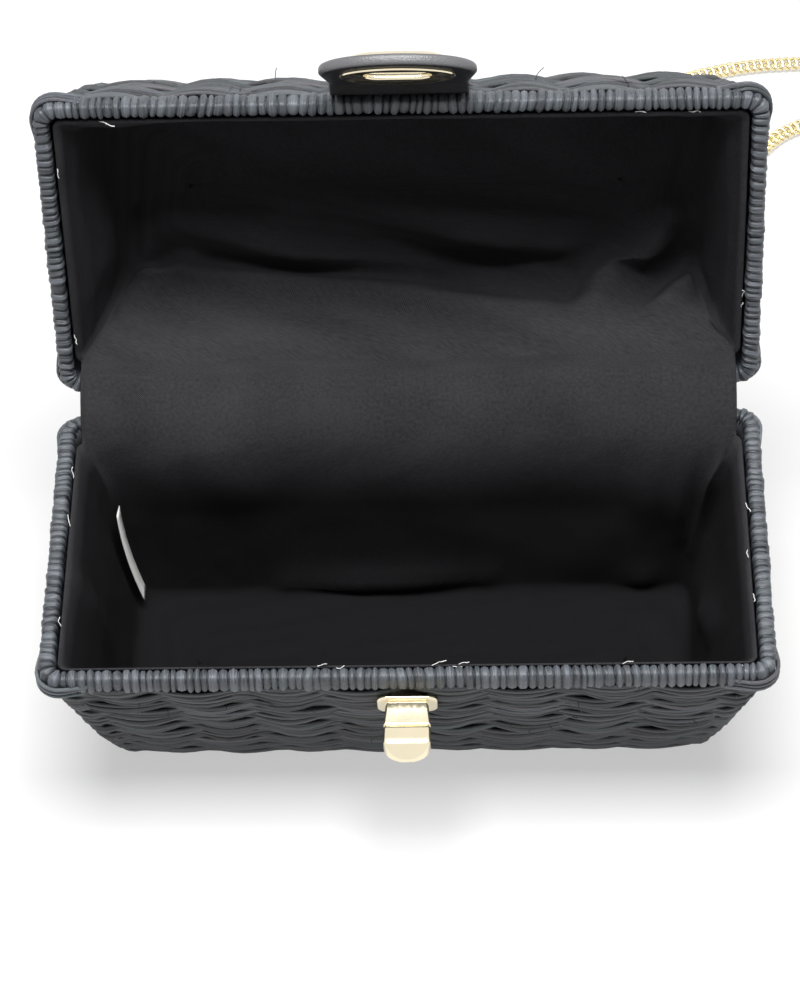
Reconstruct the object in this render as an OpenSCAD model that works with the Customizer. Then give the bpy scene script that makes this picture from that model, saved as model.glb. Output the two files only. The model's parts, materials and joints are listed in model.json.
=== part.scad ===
// Basket box bag: two woven trays meeting rim to rim, hinged along the back, lined with cloth,
// closed by a turn lock through an eyelet in a leather tab, and carried on a chain.
// Millimetres. X runs along the bag, Y from front (-) to back (+), Z up from the face it rests on.

/* [Bag] */
// Width over the rims
bag_w = 213; // [190:1:240]
// Depth over the rims
bag_d = 102; // [95:1:125]
// Height of the base, from the rest face to the top of its rim
base_h = 62; // [58:1:80]
// Height of the lid, from the face that meets the base to its top
lid_h = 40; // [36:1:60]
// Lean of the base's walls away from the upright, in degrees
wall_lean = 15; // [10:1:18]
// Lean of the lid's walls away from the upright, in degrees
lid_lean = 21; // [12:1:23]
// Angle at which the lid stands open, in degrees
open_angle = 103; // [95:1:108]
// Gap between the two rims when the lid is shut
meet_gap = 0.4; // [0.3:0.1:1]

/* [Weave] */
// Thickness of the woven wall at a stake
wall_t = 2.4; // [2:0.1:3]
// How far the strands bulge out between two stakes
bulge = 1.2; // [0.8:0.1:1.8]
// Height of one strand's ridge
ridge = 0.7; // [0.2:0.1:0.7]
// Distance from one strand that passes in front to the next
strand_pitch = 5.5; // [4.5:0.5:7]
// Spans between stakes along the front and the back
spans_long = 8; // [6:1:10]
// Spans between stakes along each end
spans_short = 4; // [3:1:5]
// Corner radius of the walls in plan
corner_r = 9; // [8:1:14]
// Radius of the edge round the bottom
floor_r = 8; // [6:1:12]
// Radius of the edge round the lid's top
crown_r = 16; // [10:1:18]

/* [Rims] */
// Thickness of a whipped rim
rim_t = 5.2; // [4.4:0.1:6.4]
// Height of a whipped rim
rim_h = 7; // [6:0.5:9]
// Outer corner radius of the rims in plan
rim_r = 7; // [6:1:12]
// How far the rims stand out past the stakes
rim_over = 2; // [1.9:0.1:2.6]
// Distance from one turn of whipping to the next
whip_pitch = 5.4; // [4.8:0.2:6.4]
// Depth of the groove between two turns
whip_depth = 0.45; // [0.2:0.05:0.7]

/* [Lining and hinge] */
// Thickness of the lining cloth
cloth_t = 0.8; // [0.5:0.1:1.2]
// Clearance between soft pieces and what backs them
soft_gap = 0.3; // [0.2:0.05:0.5]
// Room left behind the lining's back wall for the lashings
lashing_room = 4.6; // [4:0.2:7]
// Depth of the lining's hem below the face where the rims meet
hem_drop = 2; // [1:0.5:3]
// Distance of the hinge line behind the rims
hinge_back = 3.4; // [2:0.2:5]
// Width of each lashing along the rim
lashing_w = 6; // [4:1:9]
// Thickness of the lashing strands
lashing_t = 1.4; // [1:0.1:1.8]
// Width of the blank white tab sewn into the lining
sewn_tab_w = 6; // [4:1:9]
// Length of the blank white tab
sewn_tab_l = 32; // [16:1:34]
// Height of the blank tab's middle above the rest face
sewn_tab_up = 24; // [22:1:34]

/* [Turn lock] */
// Width of the knob and of the boss that carries it
lock_w = 13.6; // [11:0.2:15]
// Thickness of the knob
lock_t = 5.6; // [5:0.2:6]
// Length of the knob
knob_l = 8.6; // [7.4:0.2:8.6]
// How far the boss stands out past the rims
boss_reach = 7; // [6.4:0.1:8]
// Depth of the lock's axis below the top of the base's rim
lock_drop = 13.7; // [13:0.1:16]
// Radius of the knob's spindle
spindle_r = 1.5; // [1.2:0.1:1.7]
// Width of the lock's plate
plate_w = 17.6; // [16:0.2:24]
// Height of the lock's plate
plate_h = 11; // [9:0.5:12]

/* [Leather tab] */
// Width of the tab at the rim
tab_root_w = 40; // [36:1:46]
// Greatest width of the tab
tab_w = 45; // [42:1:54]
// Length of the tab from the line where it bends
tab_l = 30; // [29:1:38]
// Distance from the bend to the tab's widest place
tab_widest = 16.5; // [15:0.5:18]
// Thickness of the padded tab
tab_t = 3.6; // [3:0.1:4]
// Thickness of the leather where the tab bends
neck_t = 1.6; // [1:0.1:2]
// Length of leather sewn to the lid's wall
sewn_l = 14; // [8:1:20]
// Outward bend of the tab at rest, in degrees
tab_flare = 44; // [44:1:60]
// Length of the slot in the eyelet
slot_w = 19.6; // [17:0.2:22]
// Height of the slot in the eyelet
slot_h = 8.4; // [7.6:0.2:9]
// Width of the oval eyelet
eyelet_w = 33; // [30:1:38]
// Height of the oval eyelet
eyelet_h = 18; // [15:1:20]
// Thickness of the eyelet's metal
eyelet_t = 0.7; // [0.5:0.1:0.9]

/* [Chain] */
// Width of the chain
chain_d = 7; // [5:0.5:8]
// Width of the leather loops
loop_w = 11; // [8:1:14]
// Length of the leather loops above the rings
loop_l = 13; // [10:1:16]
// Depth of the loops' folds below the top of the base's rim
loop_drop = 27; // [25:1:30]
// Thickness of the loops' leather
loop_t = 1.2; // [0.8:0.1:1.4]
// Radius of the rings' wire
ring_wire = 1.1; // [0.8:0.1:1.3]

/* [Hidden] */
$fn = 48;

straw = [0.16, 0.17, 0.19];
cloth = [0.10, 0.10, 0.11];
black_leather = [0.12, 0.12, 0.13];
gold = [0.86, 0.74, 0.46];
white_tape = [0.93, 0.93, 0.91];

// Plan half sizes at the stakes, just below a rim
wall_a = bag_w / 2 - rim_over;
wall_b = bag_d / 2 - rim_over;
crest = bulge + ridge;
slope = tan(wall_lean);
lid_slope = tan(lid_lean);
// Columns of facets in one span between stakes
span_steps = 2;
lid_z = base_h + meet_gap;
hinge = [bag_d / 2 + hinge_back, base_h + meet_gap / 2];

// Stations round a rounded rectangle, anticlockwise from the front left, each [point, outward normal]
function straight(p, q, n, normal) = [for (i = [0:n - 1]) [p + (q - p) * i / n, normal]];
function corner(c, r, from, n) =
    [for (i = [0:n - 1]) let (t = from + 90 * i / n, d = [cos(t), sin(t)]) [c + r * d, d]];
function outline(a, b, r, n_long, n_corner, n_short) = let (x = a - r, y = b - r) concat(
    straight([-x, -b], [x, -b], n_long, [0, -1]), corner([x, -y], r, -90, n_corner),
    straight([a, -y], [a, y], n_short, [1, 0]), corner([x, y], r, 0, n_corner),
    straight([x, b], [-x, b], n_long, [0, 1]), corner([-x, y], r, 90, n_corner),
    straight([-a, y], [-a, -y], n_short, [-1, 0]), corner([-x, -y], r, 180, n_corner));

// A tray's section, as [distance from the meeting face, inset]: a leaning wall, then a round edge
function lean_length(h, r, lean) = (h - r + r * sin(lean) - rim_h) / cos(lean);
function section_length(h, r, lean) = lean_length(h, r, lean) + r * (90 - lean) * PI / 180;
function section(v, h, r, lean) = let (straight_l = lean_length(h, r, lean))
    v <= straight_l ? [rim_h + v * cos(lean), v * sin(lean)]
    : let (turn = lean + (v - straight_l) / r * 180 / PI)
      [h - r + r * sin(turn), straight_l * sin(lean) + r * (cos(lean) - cos(turn))];

// A closed surface through rings of points, capped at both ends or joined end to end
function middle(ring) = [for (k = [0:2]) [for (p = ring) p[k]] * [for (p = ring) 1] / len(ring)];
function ring_faces(m, n, closed) = [for (i = [0:m - (closed ? 1 : 2)], j = [0:n - 1])
    let (k = (i + 1) % m, next = (j + 1) % n)
    each [[i * n + j, k * n + next, i * n + next], [i * n + j, k * n + j, k * n + next]]];
module loft(rings, closed = false) {
    n = len(rings[0]);
    m = len(rings);
    points = concat([for (ring = rings) each ring], [middle(rings[0]), middle(rings[m - 1])]);
    sides = ring_faces(m, n, closed);
    caps = closed ? [] : [for (j = [0:n - 1]) let (i = (m - 1) * n)
        each [[j, (j + 1) % n, m * n], [i + (j + 1) % n, i + j, m * n + 1]]];
    polyhedron(closed ? [for (ring = rings) each ring] : points, concat(sides, caps));
}

// Outward offset of the woven face: strands bulge between stakes, in turn one row up or down
function weave_offset(station, row, rows) = let (
    span = floor(station / span_steps),
    along = (station % span_steps) / span_steps,
    in_front = (row + span) % 2 == 0 ? ridge : -ridge,
    fade = min(1, (rows - row) / 4))
    fade * sin(180 * along) * (bulge + in_front);

// Notches at the top of the back wall, where the lashings pass under the rim
lashing_x = wall_a - corner_r - lashing_w;
notch = 4.2;
// Rows of facets round the wall's inner edge, and the least room between two outer rows
inner_rows = 3;
row_room = 0.2;
// How deep the strands dip that pass behind a stake of the flat panel
panel_dip = 1;
function notch_depth(p) = p.y > 0 && abs(abs(p.x) - lashing_x) < lashing_w + 3 ? notch : 0;

function wall_ring(w, inset, offset_of = function (i) 0, drop_of = function (p) 0) = let (
    stations = outline(wall_a - inset, wall_b - inset, corner_r,
        spans_long * span_steps, span_steps, spans_short * span_steps))
    [for (i = [0:len(stations) - 1]) let (p = stations[i][0] + stations[i][1] * offset_of(i))
        [p.x, p.y, w + drop_of(p)]];

// The flat panel across the last ring of the wall: rows of strands along X, dipping in turn.
// Its points are spread evenly between the ring's front, back and two ends.
panel_x = spans_long * span_steps;
panel_y = (spans_short + 2) * span_steps;
function panel_point(ring, i, j) = let (n = len(ring), s = i / panel_x, t = j / panel_y,
    front = ring[i], back = ring[2 * panel_x + panel_y - i],
    left = ring[(n - j) % n], right = ring[panel_x + j],
    corners = (1 - s) * (1 - t) * ring[0] + s * (1 - t) * ring[panel_x]
        + s * t * ring[panel_x + panel_y] + (1 - s) * t * ring[2 * panel_x + panel_y],
    dips = (j + floor(i / span_steps)) % 2 * sin(180 * (i % span_steps) / span_steps))
    (1 - t) * front + t * back + (1 - s) * left + s * right - corners - [0, 0, panel_dip * dips];
function panel_index(first, i, j) = let (n = 2 * (panel_x + panel_y))
    j == 0 ? first + i : i == panel_x ? first + panel_x + j
    : j == panel_y ? first + 2 * panel_x + panel_y - i : i == 0 ? first + (n - j) % n
    : first + n + (j - 1) * (panel_x - 1) + i - 1;

// A woven tray, open at its meeting face (Z = 0) and closed at Z = h
module woven_tray(h, r, lean) {
    length = section_length(h, r, lean);
    rows = 2 * round(length / strand_pitch);
    step = length / rows;
    inner_h = h - wall_t;
    inner_r = r - wall_t;
    inner_in = wall_t / cos(lean);
    top = rim_h + soft_gap / 3;
    l0 = lean_length(inner_h, inner_r, lean);
    l1 = section_length(inner_h, inner_r, lean);
    function inner(i) = section(l0 + (l1 - l0) * i / inner_rows, inner_h, inner_r, lean);
    rings = concat(
        [for (i = [inner_rows:-1:0]) let (s = inner(i)) wall_ring(s[0], s[1] + inner_in)],
        [wall_ring(top, inner_in, drop_of = function (p) notch_depth(p))],
        [wall_ring(top, 0, function (i) weave_offset(i, 0, rows), function (p) notch_depth(p))],
        [for (row = [1:rows]) let (s = section(row * step, h, r, lean))
            wall_ring(max(s[0], top + row_room), s[1], function (i) weave_offset(i, row, rows),
                function (p) max(0, notch_depth(p) + rim_h + row_room * row - s[0]))]);
    n = len(rings[0]);
    last = (len(rings) - 1) * n;
    panel = [for (j = [1:panel_y - 1], i = [1:panel_x - 1]) panel_point(rings[len(rings) - 1], i, j)];
    points = concat([for (ring = rings) each ring], panel, [middle(rings[0])]);
    polyhedron(points, concat(ring_faces(len(rings), n, false),
        [for (j = [0:n - 1]) [j, (j + 1) % n, len(points) - 1]],
        [for (j = [0:panel_y - 1], i = [0:panel_x - 1]) let (p = panel_index(last, i, j),
                q = panel_index(last, i + 1, j), u = panel_index(last, i, j + 1),
                v = panel_index(last, i + 1, j + 1))
            each [[q, p, u], [q, u, v]]]));
}

// A whipped rim, with its crown on the meeting face and its flat back at Z = rim_h
module whipped_rim() {
    a = bag_w / 2 - rim_t / 2;
    b = bag_d / 2 - rim_t / 2;
    r = rim_r - rim_t / 2;
    stations = outline(a, b, r, 2 * round(2 * (a - r) / whip_pitch),
        2 * round(r * PI / 2 / whip_pitch), 2 * round(2 * (b - r) / whip_pitch));
    shoulder = rim_h * 0.24;
    loft([for (i = [0:len(stations) - 1]) let (p = stations[i][0], out = stations[i][1],
            cut = i % 2 == 0 ? whip_depth : 0, half = rim_t / 2 - cut)
        [for (q = [[-half, rim_h], [half, rim_h], [half, shoulder], [0, cut], [-half, shoulder]])
            [p.x + out.x * q[0], p.y + out.y * q[0], q[1]]]], closed = true);
}

// A cloth bag inside a tray, standing off its back wall
lining_in = rim_t - rim_over + soft_gap;
lining_r = corner_r - lining_in / 2;
module tray_lining(h, r, lean) {
    function layer(depth) = let (lh = h - wall_t - soft_gap - depth, lr = r - wall_t - depth,
            l0 = lean_length(lh, lr, lean), l1 = section_length(lh, lr, lean))
        concat([[hem_drop, depth]], [for (i = [0:inner_rows])
            let (s = section(l0 + (l1 - l0) * i / inner_rows, lh, lr, lean))
            [s[0], s[1] + depth / cos(lean)]]);
    function ring(s) = let (inset = lining_in + s[1], back = lashing_room / 2)
        [for (q = outline(wall_a - inset, wall_b - inset - back, lining_r, 2, 4, 1))
            [q[0].x, q[0].y - back, s[0]]];
    inside = layer(cloth_t);
    outside = layer(0);
    loft(concat([for (i = [inner_rows + 1:-1:0]) ring(inside[i])],
        [for (i = [0:inner_rows + 1]) ring(outside[i])]));
}

// Places: the base hangs below its rim, the lid stands open, the tab bends away from the lid
module in_base() { translate([0, 0, base_h]) mirror([0, 0, 1]) children(); }
module in_lid() {
    translate([0, hinge.x, hinge.y]) rotate([-open_angle, 0, 0])
        translate([0, -hinge.x, -hinge.y]) children();
}
function opened(p) = let (d = p - hinge, c = cos(open_angle), s = sin(open_angle))
    hinge + [d.x * c + d.y * s, d.y * c - d.x * s];
bend = [-(bag_d / 2 + soft_gap + neck_t / 2), lid_z + rim_h / 2];
module in_tab() { in_lid() translate([0, bend.x, bend.y]) rotate([-tab_flare, 0, 0]) children(); }

// A flat shape in Y and Z, drawn out along X
module across(w) { translate([-w / 2, 0, 0]) rotate([90, 0, 90]) linear_extrude(w) children(); }
function strip(p, q, t) = let (d = (q - p) / norm(q - p), n = [-d.y, d.x] * t / 2)
    [p - n, q - n, q + n, p + n];
module slot_shape(w, h) {
    for (x = [-1, 1]) translate([x * (w - h) / 2, 0]) circle(d = h);
    square([w - h, h], center = true);
}
module rounded_rectangle(w, h, r) {
    for (x = [-1, 1], y = [-1, 1]) translate([x * (w / 2 - r), y * (h / 2 - r)]) circle(r);
    square([w - 2 * r, h], center = true);
    square([w, h - 2 * r], center = true);
}
module oval(w, h) { polygon([for (t = [0:7.5:352.5]) [w / 2 * cos(t), h / 2 * sin(t)]]); }

// The face of a leaning base wall: X along the wall, Y up it, Z out of it
module on_wall(turn, half, drop) {
    rotate([0, 0, turn]) translate([0, -(half + crest + soft_gap) + (drop - rim_h) * slope, base_h - drop])
        rotate([90 + wall_lean, 0, 0]) children();
}

module base_basket() { color(straw) in_base() woven_tray(base_h, floor_r, wall_lean); }
module base_rim() { color(straw) in_base() whipped_rim(); }
module base_lining() { color(cloth) in_base() tray_lining(base_h, floor_r, wall_lean); }
module lid_basket() { color(straw) in_lid() translate([0, 0, lid_z]) woven_tray(lid_h, crown_r, lid_lean); }
module lid_rim() { color(straw) in_lid() translate([0, 0, lid_z]) whipped_rim(); }
module lid_lining() { color(cloth) in_lid() translate([0, 0, lid_z]) tray_lining(lid_h, crown_r, lid_lean); }

// The lining's taut band over the hinge, between the two linings' hems
cloth_back = wall_b - lining_in - lashing_room;
module hinge_cloth() {
    seat = cloth_t / 2 + soft_gap;
    from = [cloth_back - cloth_t / 2, base_h - hem_drop + seat];
    to = opened([cloth_back - cloth_t / 2, lid_z + hem_drop - seat]);
    color(cloth) across(2 * (wall_a - lining_in - corner_r / 2)) polygon(strip(from, to, cloth_t));
}

// Strands lashed round both rims near the back corners
module hinge_lashings() {
    base_roll = [bag_d / 2 - rim_t / 2, base_h - rim_h / 2];
    lid_roll = opened([bag_d / 2 - rim_t / 2, lid_z + rim_h / 2]);
    reach = norm([rim_t, rim_h]) / 2 + soft_gap / 2;
    module loop(r) {
        for (p = [base_roll, lid_roll]) translate(p) circle(r);
        polygon(strip(base_roll, lid_roll, 2 * r));
    }
    color(straw) for (side = [-1, 1]) translate([side * lashing_x, 0, 0]) across(lashing_w)
        difference() {
            loop(reach + lashing_t);
            loop(reach);
        }
}

// A blank white tab sewn into the seam between the left end and the back
module sewn_tab() {
    inset = lining_in + (base_h - sewn_tab_up - rim_h) * slope + cloth_t / cos(wall_lean);
    seam = (lining_r - 2 * soft_gap - cloth_t) / sqrt(2);
    lean = atan(sqrt(2) * slope);
    x = lining_r + inset - wall_a - seam;
    y = wall_b - lashing_room - inset - lining_r + seam;
    color(white_tape) translate([x, y, sewn_tab_up]) rotate([0, -lean, -45]) rotate([0, 0, 45])
        translate([-cloth_t / 4, -sewn_tab_w, -sewn_tab_l / 2]) cube([cloth_t / 2, sewn_tab_w, sewn_tab_l]);
}

// Turn lock: a plate on the wall with a level boss, and the knob that turns on it
lock_z = base_h - lock_drop;
boss_end = bag_d / 2 + boss_reach;
plate_t = 1;
plate_r = 3;
backing_t = 0.5;
boss_edge = 0.8;
knob_edge = 1.2;
knob_tip_r = 8.2;
turn_gap = 0.2;
spindle_fit = 0.05;
spindle_l = 4;
head_r = spindle_r + 0.7;
head_t = 1.2;
head_y = boss_end - spindle_l;
module along_lock() { translate([0, 0, lock_z]) rotate([90, 0, 0]) children(); }
module lock_plate() {
    color(gold) difference() {
        union() {
            on_wall(0, wall_b, lock_drop) linear_extrude(plate_t)
                rounded_rectangle(plate_w, plate_h, plate_r);
            along_lock() linear_extrude(boss_end) rounded_rectangle(lock_w, lock_t, boss_edge);
        }
        on_wall(0, wall_b, lock_drop) translate([0, 0, -bag_d]) linear_extrude(bag_d)
            square(bag_w, center = true);
        along_lock() cylinder(r = spindle_r + spindle_fit, h = bag_d);
        along_lock() cylinder(r = head_r + turn_gap, h = head_y + turn_gap);
    }
}
module lock_knob() {
    color(gold) along_lock() {
        translate([0, 0, boss_end + turn_gap]) intersection() {
            linear_extrude(knob_l) rounded_rectangle(lock_w, lock_t, knob_edge);
            translate([0, lock_t, knob_l - knob_tip_r]) rotate([90, 0, 0]) linear_extrude(2 * lock_t) {
                circle(knob_tip_r);
                translate([-lock_w, -knob_l]) square([2 * lock_w, knob_l]);
            }
        }
        translate([0, 0, head_y]) cylinder(r = spindle_r, h = boss_end + turn_gap - head_y);
        translate([0, 0, head_y - head_t]) cylinder(r = head_r, h = head_t);
    }
}
module lock_backing() {
    behind = crest + soft_gap + wall_t + soft_gap / 2 + backing_t;
    color(gold) on_wall(0, wall_b, lock_drop) translate([0, 0, -behind]) linear_extrude(backing_t)
        rounded_rectangle(plate_w, plate_h, plate_r);
}

// Leather tab: sewn to the lid's wall, bending at the rim, padded round a slotted eyelet
module tab_root() {
    face = -(bag_d / 2 + soft_gap);
    low = bend.y + neck_t / 2 + 2 * soft_gap;
    top = lid_z + rim_h;
    run = [sewn_l * lid_slope, sewn_l];
    out = [-cos(lid_lean), -sin(lid_lean)] * neck_t;
    color(black_leather) in_lid() across(tab_root_w) polygon([[face, low], [face, top], [face, top] + run,
        [face, top] + run + out, [face - neck_t, top], [face - neck_t, low]]);
}
neck_l = 5;
neck_lap = 1;
function tab_outline(cut) = let (half = tab_w / 2 - cut, root = tab_root_w / 2 - cut,
        end = tab_l - tab_widest - cut)
    concat([[root, -neck_l + cut]], [for (t = [0:12:180]) [half * cos(t), -tab_widest - end * sin(t)]],
        [[-root, -neck_l + cut]]);
// The padded tab's inner face lies outside the bend's, clear of the lock's plate
face_set = 1.5;
tab_face = neck_t / 2 - face_set;
eyelet_fit = 0.2;
slot_z = lock_z - bend.y;
module leather_tab() {
    round_over = tab_t / 4;
    layers = [[0, round_over], [round_over / 2, round_over / 4], [tab_t / 2, 0],
        [tab_t - round_over / 2, round_over / 4], [tab_t, round_over]];
    color(black_leather) in_tab() difference() {
        union() {
            rotate([0, 90, 0]) cylinder(d = neck_t, h = tab_root_w, center = true);
            across(tab_root_w) polygon(strip([0, 0], [tab_face - tab_t / 2, -neck_l - neck_lap], neck_t));
            translate([0, tab_face - tab_t, 0])
                loft([for (s = layers) [for (p = tab_outline(s[1])) [p.x, s[0], p.y]]]);
        }
        translate([0, 0, slot_z]) rotate([90, 0, 0]) translate([0, 0, -tab_t])
            linear_extrude(3 * tab_t)
                slot_shape(slot_w + 2 * (eyelet_t + eyelet_fit), slot_h + 2 * (eyelet_t + eyelet_fit));
    }
}
module eyelet_plane(y) { in_tab() translate([0, y, slot_z]) rotate([90, 0, 0]) children(); }
module eyelet_front() {
    color(gold) {
        eyelet_plane(tab_face - tab_t) linear_extrude(eyelet_t) difference() {
            oval(eyelet_w, eyelet_h);
            slot_shape(slot_w, slot_h);
        }
        eyelet_plane(tab_face) linear_extrude(tab_t + eyelet_t) difference() {
            slot_shape(slot_w + 2 * eyelet_t, slot_h + 2 * eyelet_t);
            slot_shape(slot_w, slot_h);
        }
    }
}
module eyelet_back() {
    color(gold) eyelet_plane(tab_face + eyelet_t) linear_extrude(eyelet_t) difference() {
        oval(eyelet_w, eyelet_h);
        slot_shape(slot_w, slot_h);
    }
}

// Chain loops: leather folded round a ring's bar and riveted to each end of the base
loop_y = 8;
ring_gap = 0.2;
bar_hole = ring_wire + ring_gap;
fold_r = bar_hole + loop_t;
// Inside radius of a ring's bow, which clears the folded leather
ring_r = norm([loop_w / 2 + ring_gap, fold_r]);
function bar_at(side) = let (out = fold_r * cos(wall_lean))
    [side * (wall_a + crest + soft_gap - (loop_drop - rim_h) * slope + out), loop_y,
     base_h - loop_drop - fold_r * sin(wall_lean)];
module on_end(side) { on_wall(side * 90, wall_a, loop_drop) translate([side * loop_y, 0, 0]) children(); }
module chain_loop(side) {
    color(black_leather) on_end(side) difference() {
        across(loop_w) difference() {
            union() {
                translate([0, fold_r]) circle(fold_r);
                polygon([[0, 0], [loop_l, 0], [loop_l, 2 * loop_t], [loop_l / 2, 2 * loop_t],
                    [0, 2 * fold_r]]);
            }
            translate([0, fold_r]) circle(bar_hole);
        }
        translate([0, loop_l - rivet_in, -loop_t]) cylinder(r = rivet_r + rivet_fit, h = 4 * loop_t);
    }
}
rivet_r = 1.2;
rivet_fit = 0.1;
rivet_in = 3.2;
rivet_head_r = 2.4;
rivet_head_t = 0.8;
module loop_rivets() {
    stem = 2 * loop_t + rivet_fit;
    color(gold) for (side = [-1, 1]) on_end(side) translate([0, loop_l - rivet_in, 0]) {
        cylinder(r = rivet_r, h = stem);
        translate([0, 0, stem]) cylinder(r = rivet_head_r, h = rivet_head_t);
    }
}
module ring(side) {
    bow = ring_r + ring_wire;
    color(gold) translate(bar_at(side)) {
        rotate([90, 0, 0]) cylinder(r = ring_wire, h = 2 * bow, center = true);
        rotate([0, 90, 0]) rotate([0, 0, -90]) rotate_extrude(angle = 180)
            translate([bow, 0]) circle(ring_wire);
        for (y = [-bow, bow]) translate([0, y, 0]) sphere(ring_wire);
    }
}
end_r = 3.2;
end_wire = 0.9;
end_drop = ring_r + end_r - end_wire - ring_gap;
module end_ring(side) {
    color(gold) translate(bar_at(side) - [0, 0, end_drop]) rotate([90, 0, 0]) rotate_extrude()
        translate([end_r, 0]) circle(end_wire);
}

// The chain hangs from its end rings to the floor and lies behind the bag, its slack in one coil.
// Its width follows the chain; the points of its two runs are chosen by hand.
function unit(v) = v / norm(v);
function heading(p, i) = unit(p[min(i + 1, len(p) - 1)] - p[max(i - 1, 0)]);
function normals(p, i = 0, n = [0, 1, 0]) = let (t = heading(p, i), m = unit(n - (n * t) * t))
    i == len(p) - 1 ? [m] : concat([m], normals(p, i + 1, m));
module tube(path, d) {
    sides = 8;
    side_normals = normals(path);
    loft([for (i = [0:len(path) - 1]) let (n = side_normals[i], b = cross(heading(path, i), n))
        [for (k = [0:sides - 1]) path[i] + d / 2 * (cos(360 * k / sides) * n + sin(360 * k / sides) * b)]]);
}
floor_gap = 0.1;
floor_z = chain_d / 2 + floor_gap;
chain_top = [for (side = [-1, 1]) bar_at(side) - [0, 0, end_drop + end_r + end_wire + ring_gap]];
coil_centre = [-18, 172];
coil_r = 40;
coil_turns_w = 2.2 * chain_d;
hang = 6;
function hanging(top) = [top, top - [0, 0, hang]];
right_run = concat(hanging(chain_top[1]), [[103, 10, 12], [103, 14, 7], [102, 22, floor_z],
    [101, 36, floor_z], [99, 60, floor_z], [96, 90, floor_z], [95, 120, floor_z], [97, 150, floor_z],
    [103, 178, floor_z], [114, 204, floor_z], [130, 222, floor_z], [147, 232, floor_z], [158, 243, floor_z],
    [160, 256, floor_z], [152, 266, floor_z], [138, 270, floor_z], [120, 269, floor_z], [102, 263, floor_z],
    [82, 252, floor_z], [62, 240, floor_z], [40, 229, floor_z], [16, 222, floor_z], [-6, 220.5, floor_z]]);
left_run = concat(hanging(chain_top[0]), [[-103, 10, 12], [-103, 14, 7], [-102, 22, floor_z],
    [-101, 36, floor_z], [-99, 56, floor_z], [-97, 80, floor_z], [-94, 100, floor_z], [-87, 120, floor_z],
    [-77, 138, floor_z], [-70, 154, floor_z], [-67, 172, floor_z]]);
module chain_right() { color(gold) tube(right_run, chain_d); }
module chain_left() { color(gold) tube(left_run, chain_d); }
module chain_coil() {
    color(gold) translate([coil_centre.x, coil_centre.y, floor_gap]) rotate_extrude()
        translate([coil_r - coil_turns_w / 2, 0]) square([coil_turns_w, chain_d]);
}

base_basket();
base_rim();
base_lining();
hinge_cloth();
hinge_lashings();
sewn_tab();
lock_plate();
lock_backing();
lock_knob();
lid_basket();
lid_rim();
lid_lining();
tab_root();
leather_tab();
eyelet_front();
eyelet_back();
chain_loop(-1);  // loop_left
chain_loop(1);  // loop_right
ring(-1);  // ring_left
ring(1);  // ring_right
loop_rivets();
end_ring(-1);  // end_ring_left
end_ring(1);  // end_ring_right
chain_left();
chain_right();
chain_coil();
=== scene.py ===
# %% [markdown]
# # A woven box bag, standing open
# The real bag is two trays of dyed plant fibre that meet rim to rim and hinge along the back. Its rims are
# whipped with finer fibre, one black cloth lines both trays, a leather tab with a slotted eyelet closes over
# a turn lock, and a metal chain carries it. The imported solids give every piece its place, so this script only
# dresses them. Lengths below are in millimetres, as a maker would write them, until a mesh is made.

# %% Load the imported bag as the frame
import json
import math
import random

import bpy
import numpy as np
from mathutils import Matrix, Vector, noise


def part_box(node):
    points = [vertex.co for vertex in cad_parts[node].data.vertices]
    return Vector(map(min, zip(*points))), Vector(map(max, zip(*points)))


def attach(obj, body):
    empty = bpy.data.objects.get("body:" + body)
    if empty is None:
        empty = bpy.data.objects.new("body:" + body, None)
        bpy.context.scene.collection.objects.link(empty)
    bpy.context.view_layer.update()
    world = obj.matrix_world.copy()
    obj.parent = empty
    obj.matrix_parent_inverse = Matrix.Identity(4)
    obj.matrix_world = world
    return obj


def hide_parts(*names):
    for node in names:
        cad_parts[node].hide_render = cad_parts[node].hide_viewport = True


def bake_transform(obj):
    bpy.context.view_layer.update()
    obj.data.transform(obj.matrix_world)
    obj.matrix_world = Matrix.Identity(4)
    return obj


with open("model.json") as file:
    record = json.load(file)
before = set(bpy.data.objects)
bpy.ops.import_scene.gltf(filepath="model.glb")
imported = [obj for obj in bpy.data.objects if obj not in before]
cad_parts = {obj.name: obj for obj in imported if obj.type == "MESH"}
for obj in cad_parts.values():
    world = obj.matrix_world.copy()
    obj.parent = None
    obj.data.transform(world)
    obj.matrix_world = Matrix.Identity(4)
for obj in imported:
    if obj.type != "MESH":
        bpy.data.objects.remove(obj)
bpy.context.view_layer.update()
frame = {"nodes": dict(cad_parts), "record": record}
nodes = frame["nodes"]

# %% [markdown]
# ## Measures
# A tray is easiest to think of lying on its open face: x along it, y towards the hinge, and w the distance
# from the face where the rims meet. The base is that tray turned over, and the lid is the same tray swung
# open about the hinge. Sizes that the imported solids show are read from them, and the rest repeat the source.

# %% Read the sizes of the trays
MM = 0.001


def box_mm(node):
    """The lowest and the highest corner of a node."""
    return (np.array(corner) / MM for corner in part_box(node))


rim_low, rim_high = box_mm("base_rim")
half_w, half_d, base_h = rim_high
rim_h = base_h - rim_low[2]
joints = {joint["name"]: joint for joint in frame["record"]["behaviour"]["joints"]}
hinge_y, hinge_z = (number / MM for number in joints["lid_hinge"]["pos_m"][1:])
open_angle = math.radians(joints["lid_hinge"]["range_deg"][1])
lid_z = 2 * hinge_z - base_h
lid_h = 40
rim_t = 5.2
rim_r = 7
wall_a = half_w - 2
wall_b = half_d - 2
wall_t = 2.4
weave_t = 1.9
corner_r = 9
floor_r = 8
crown_r = 16
base_lean = math.radians(15)
lid_lean = math.radians(21)
soft_gap = 0.3
print("trays", 2 * half_w, "x", 2 * half_d, "base", base_h, "lid", lid_h, "rim", rim_h)


# %% Turn tray coordinates into the bag's
def in_base(points):
    return points * [1, 1, -1] + [0, 0, base_h]


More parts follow.
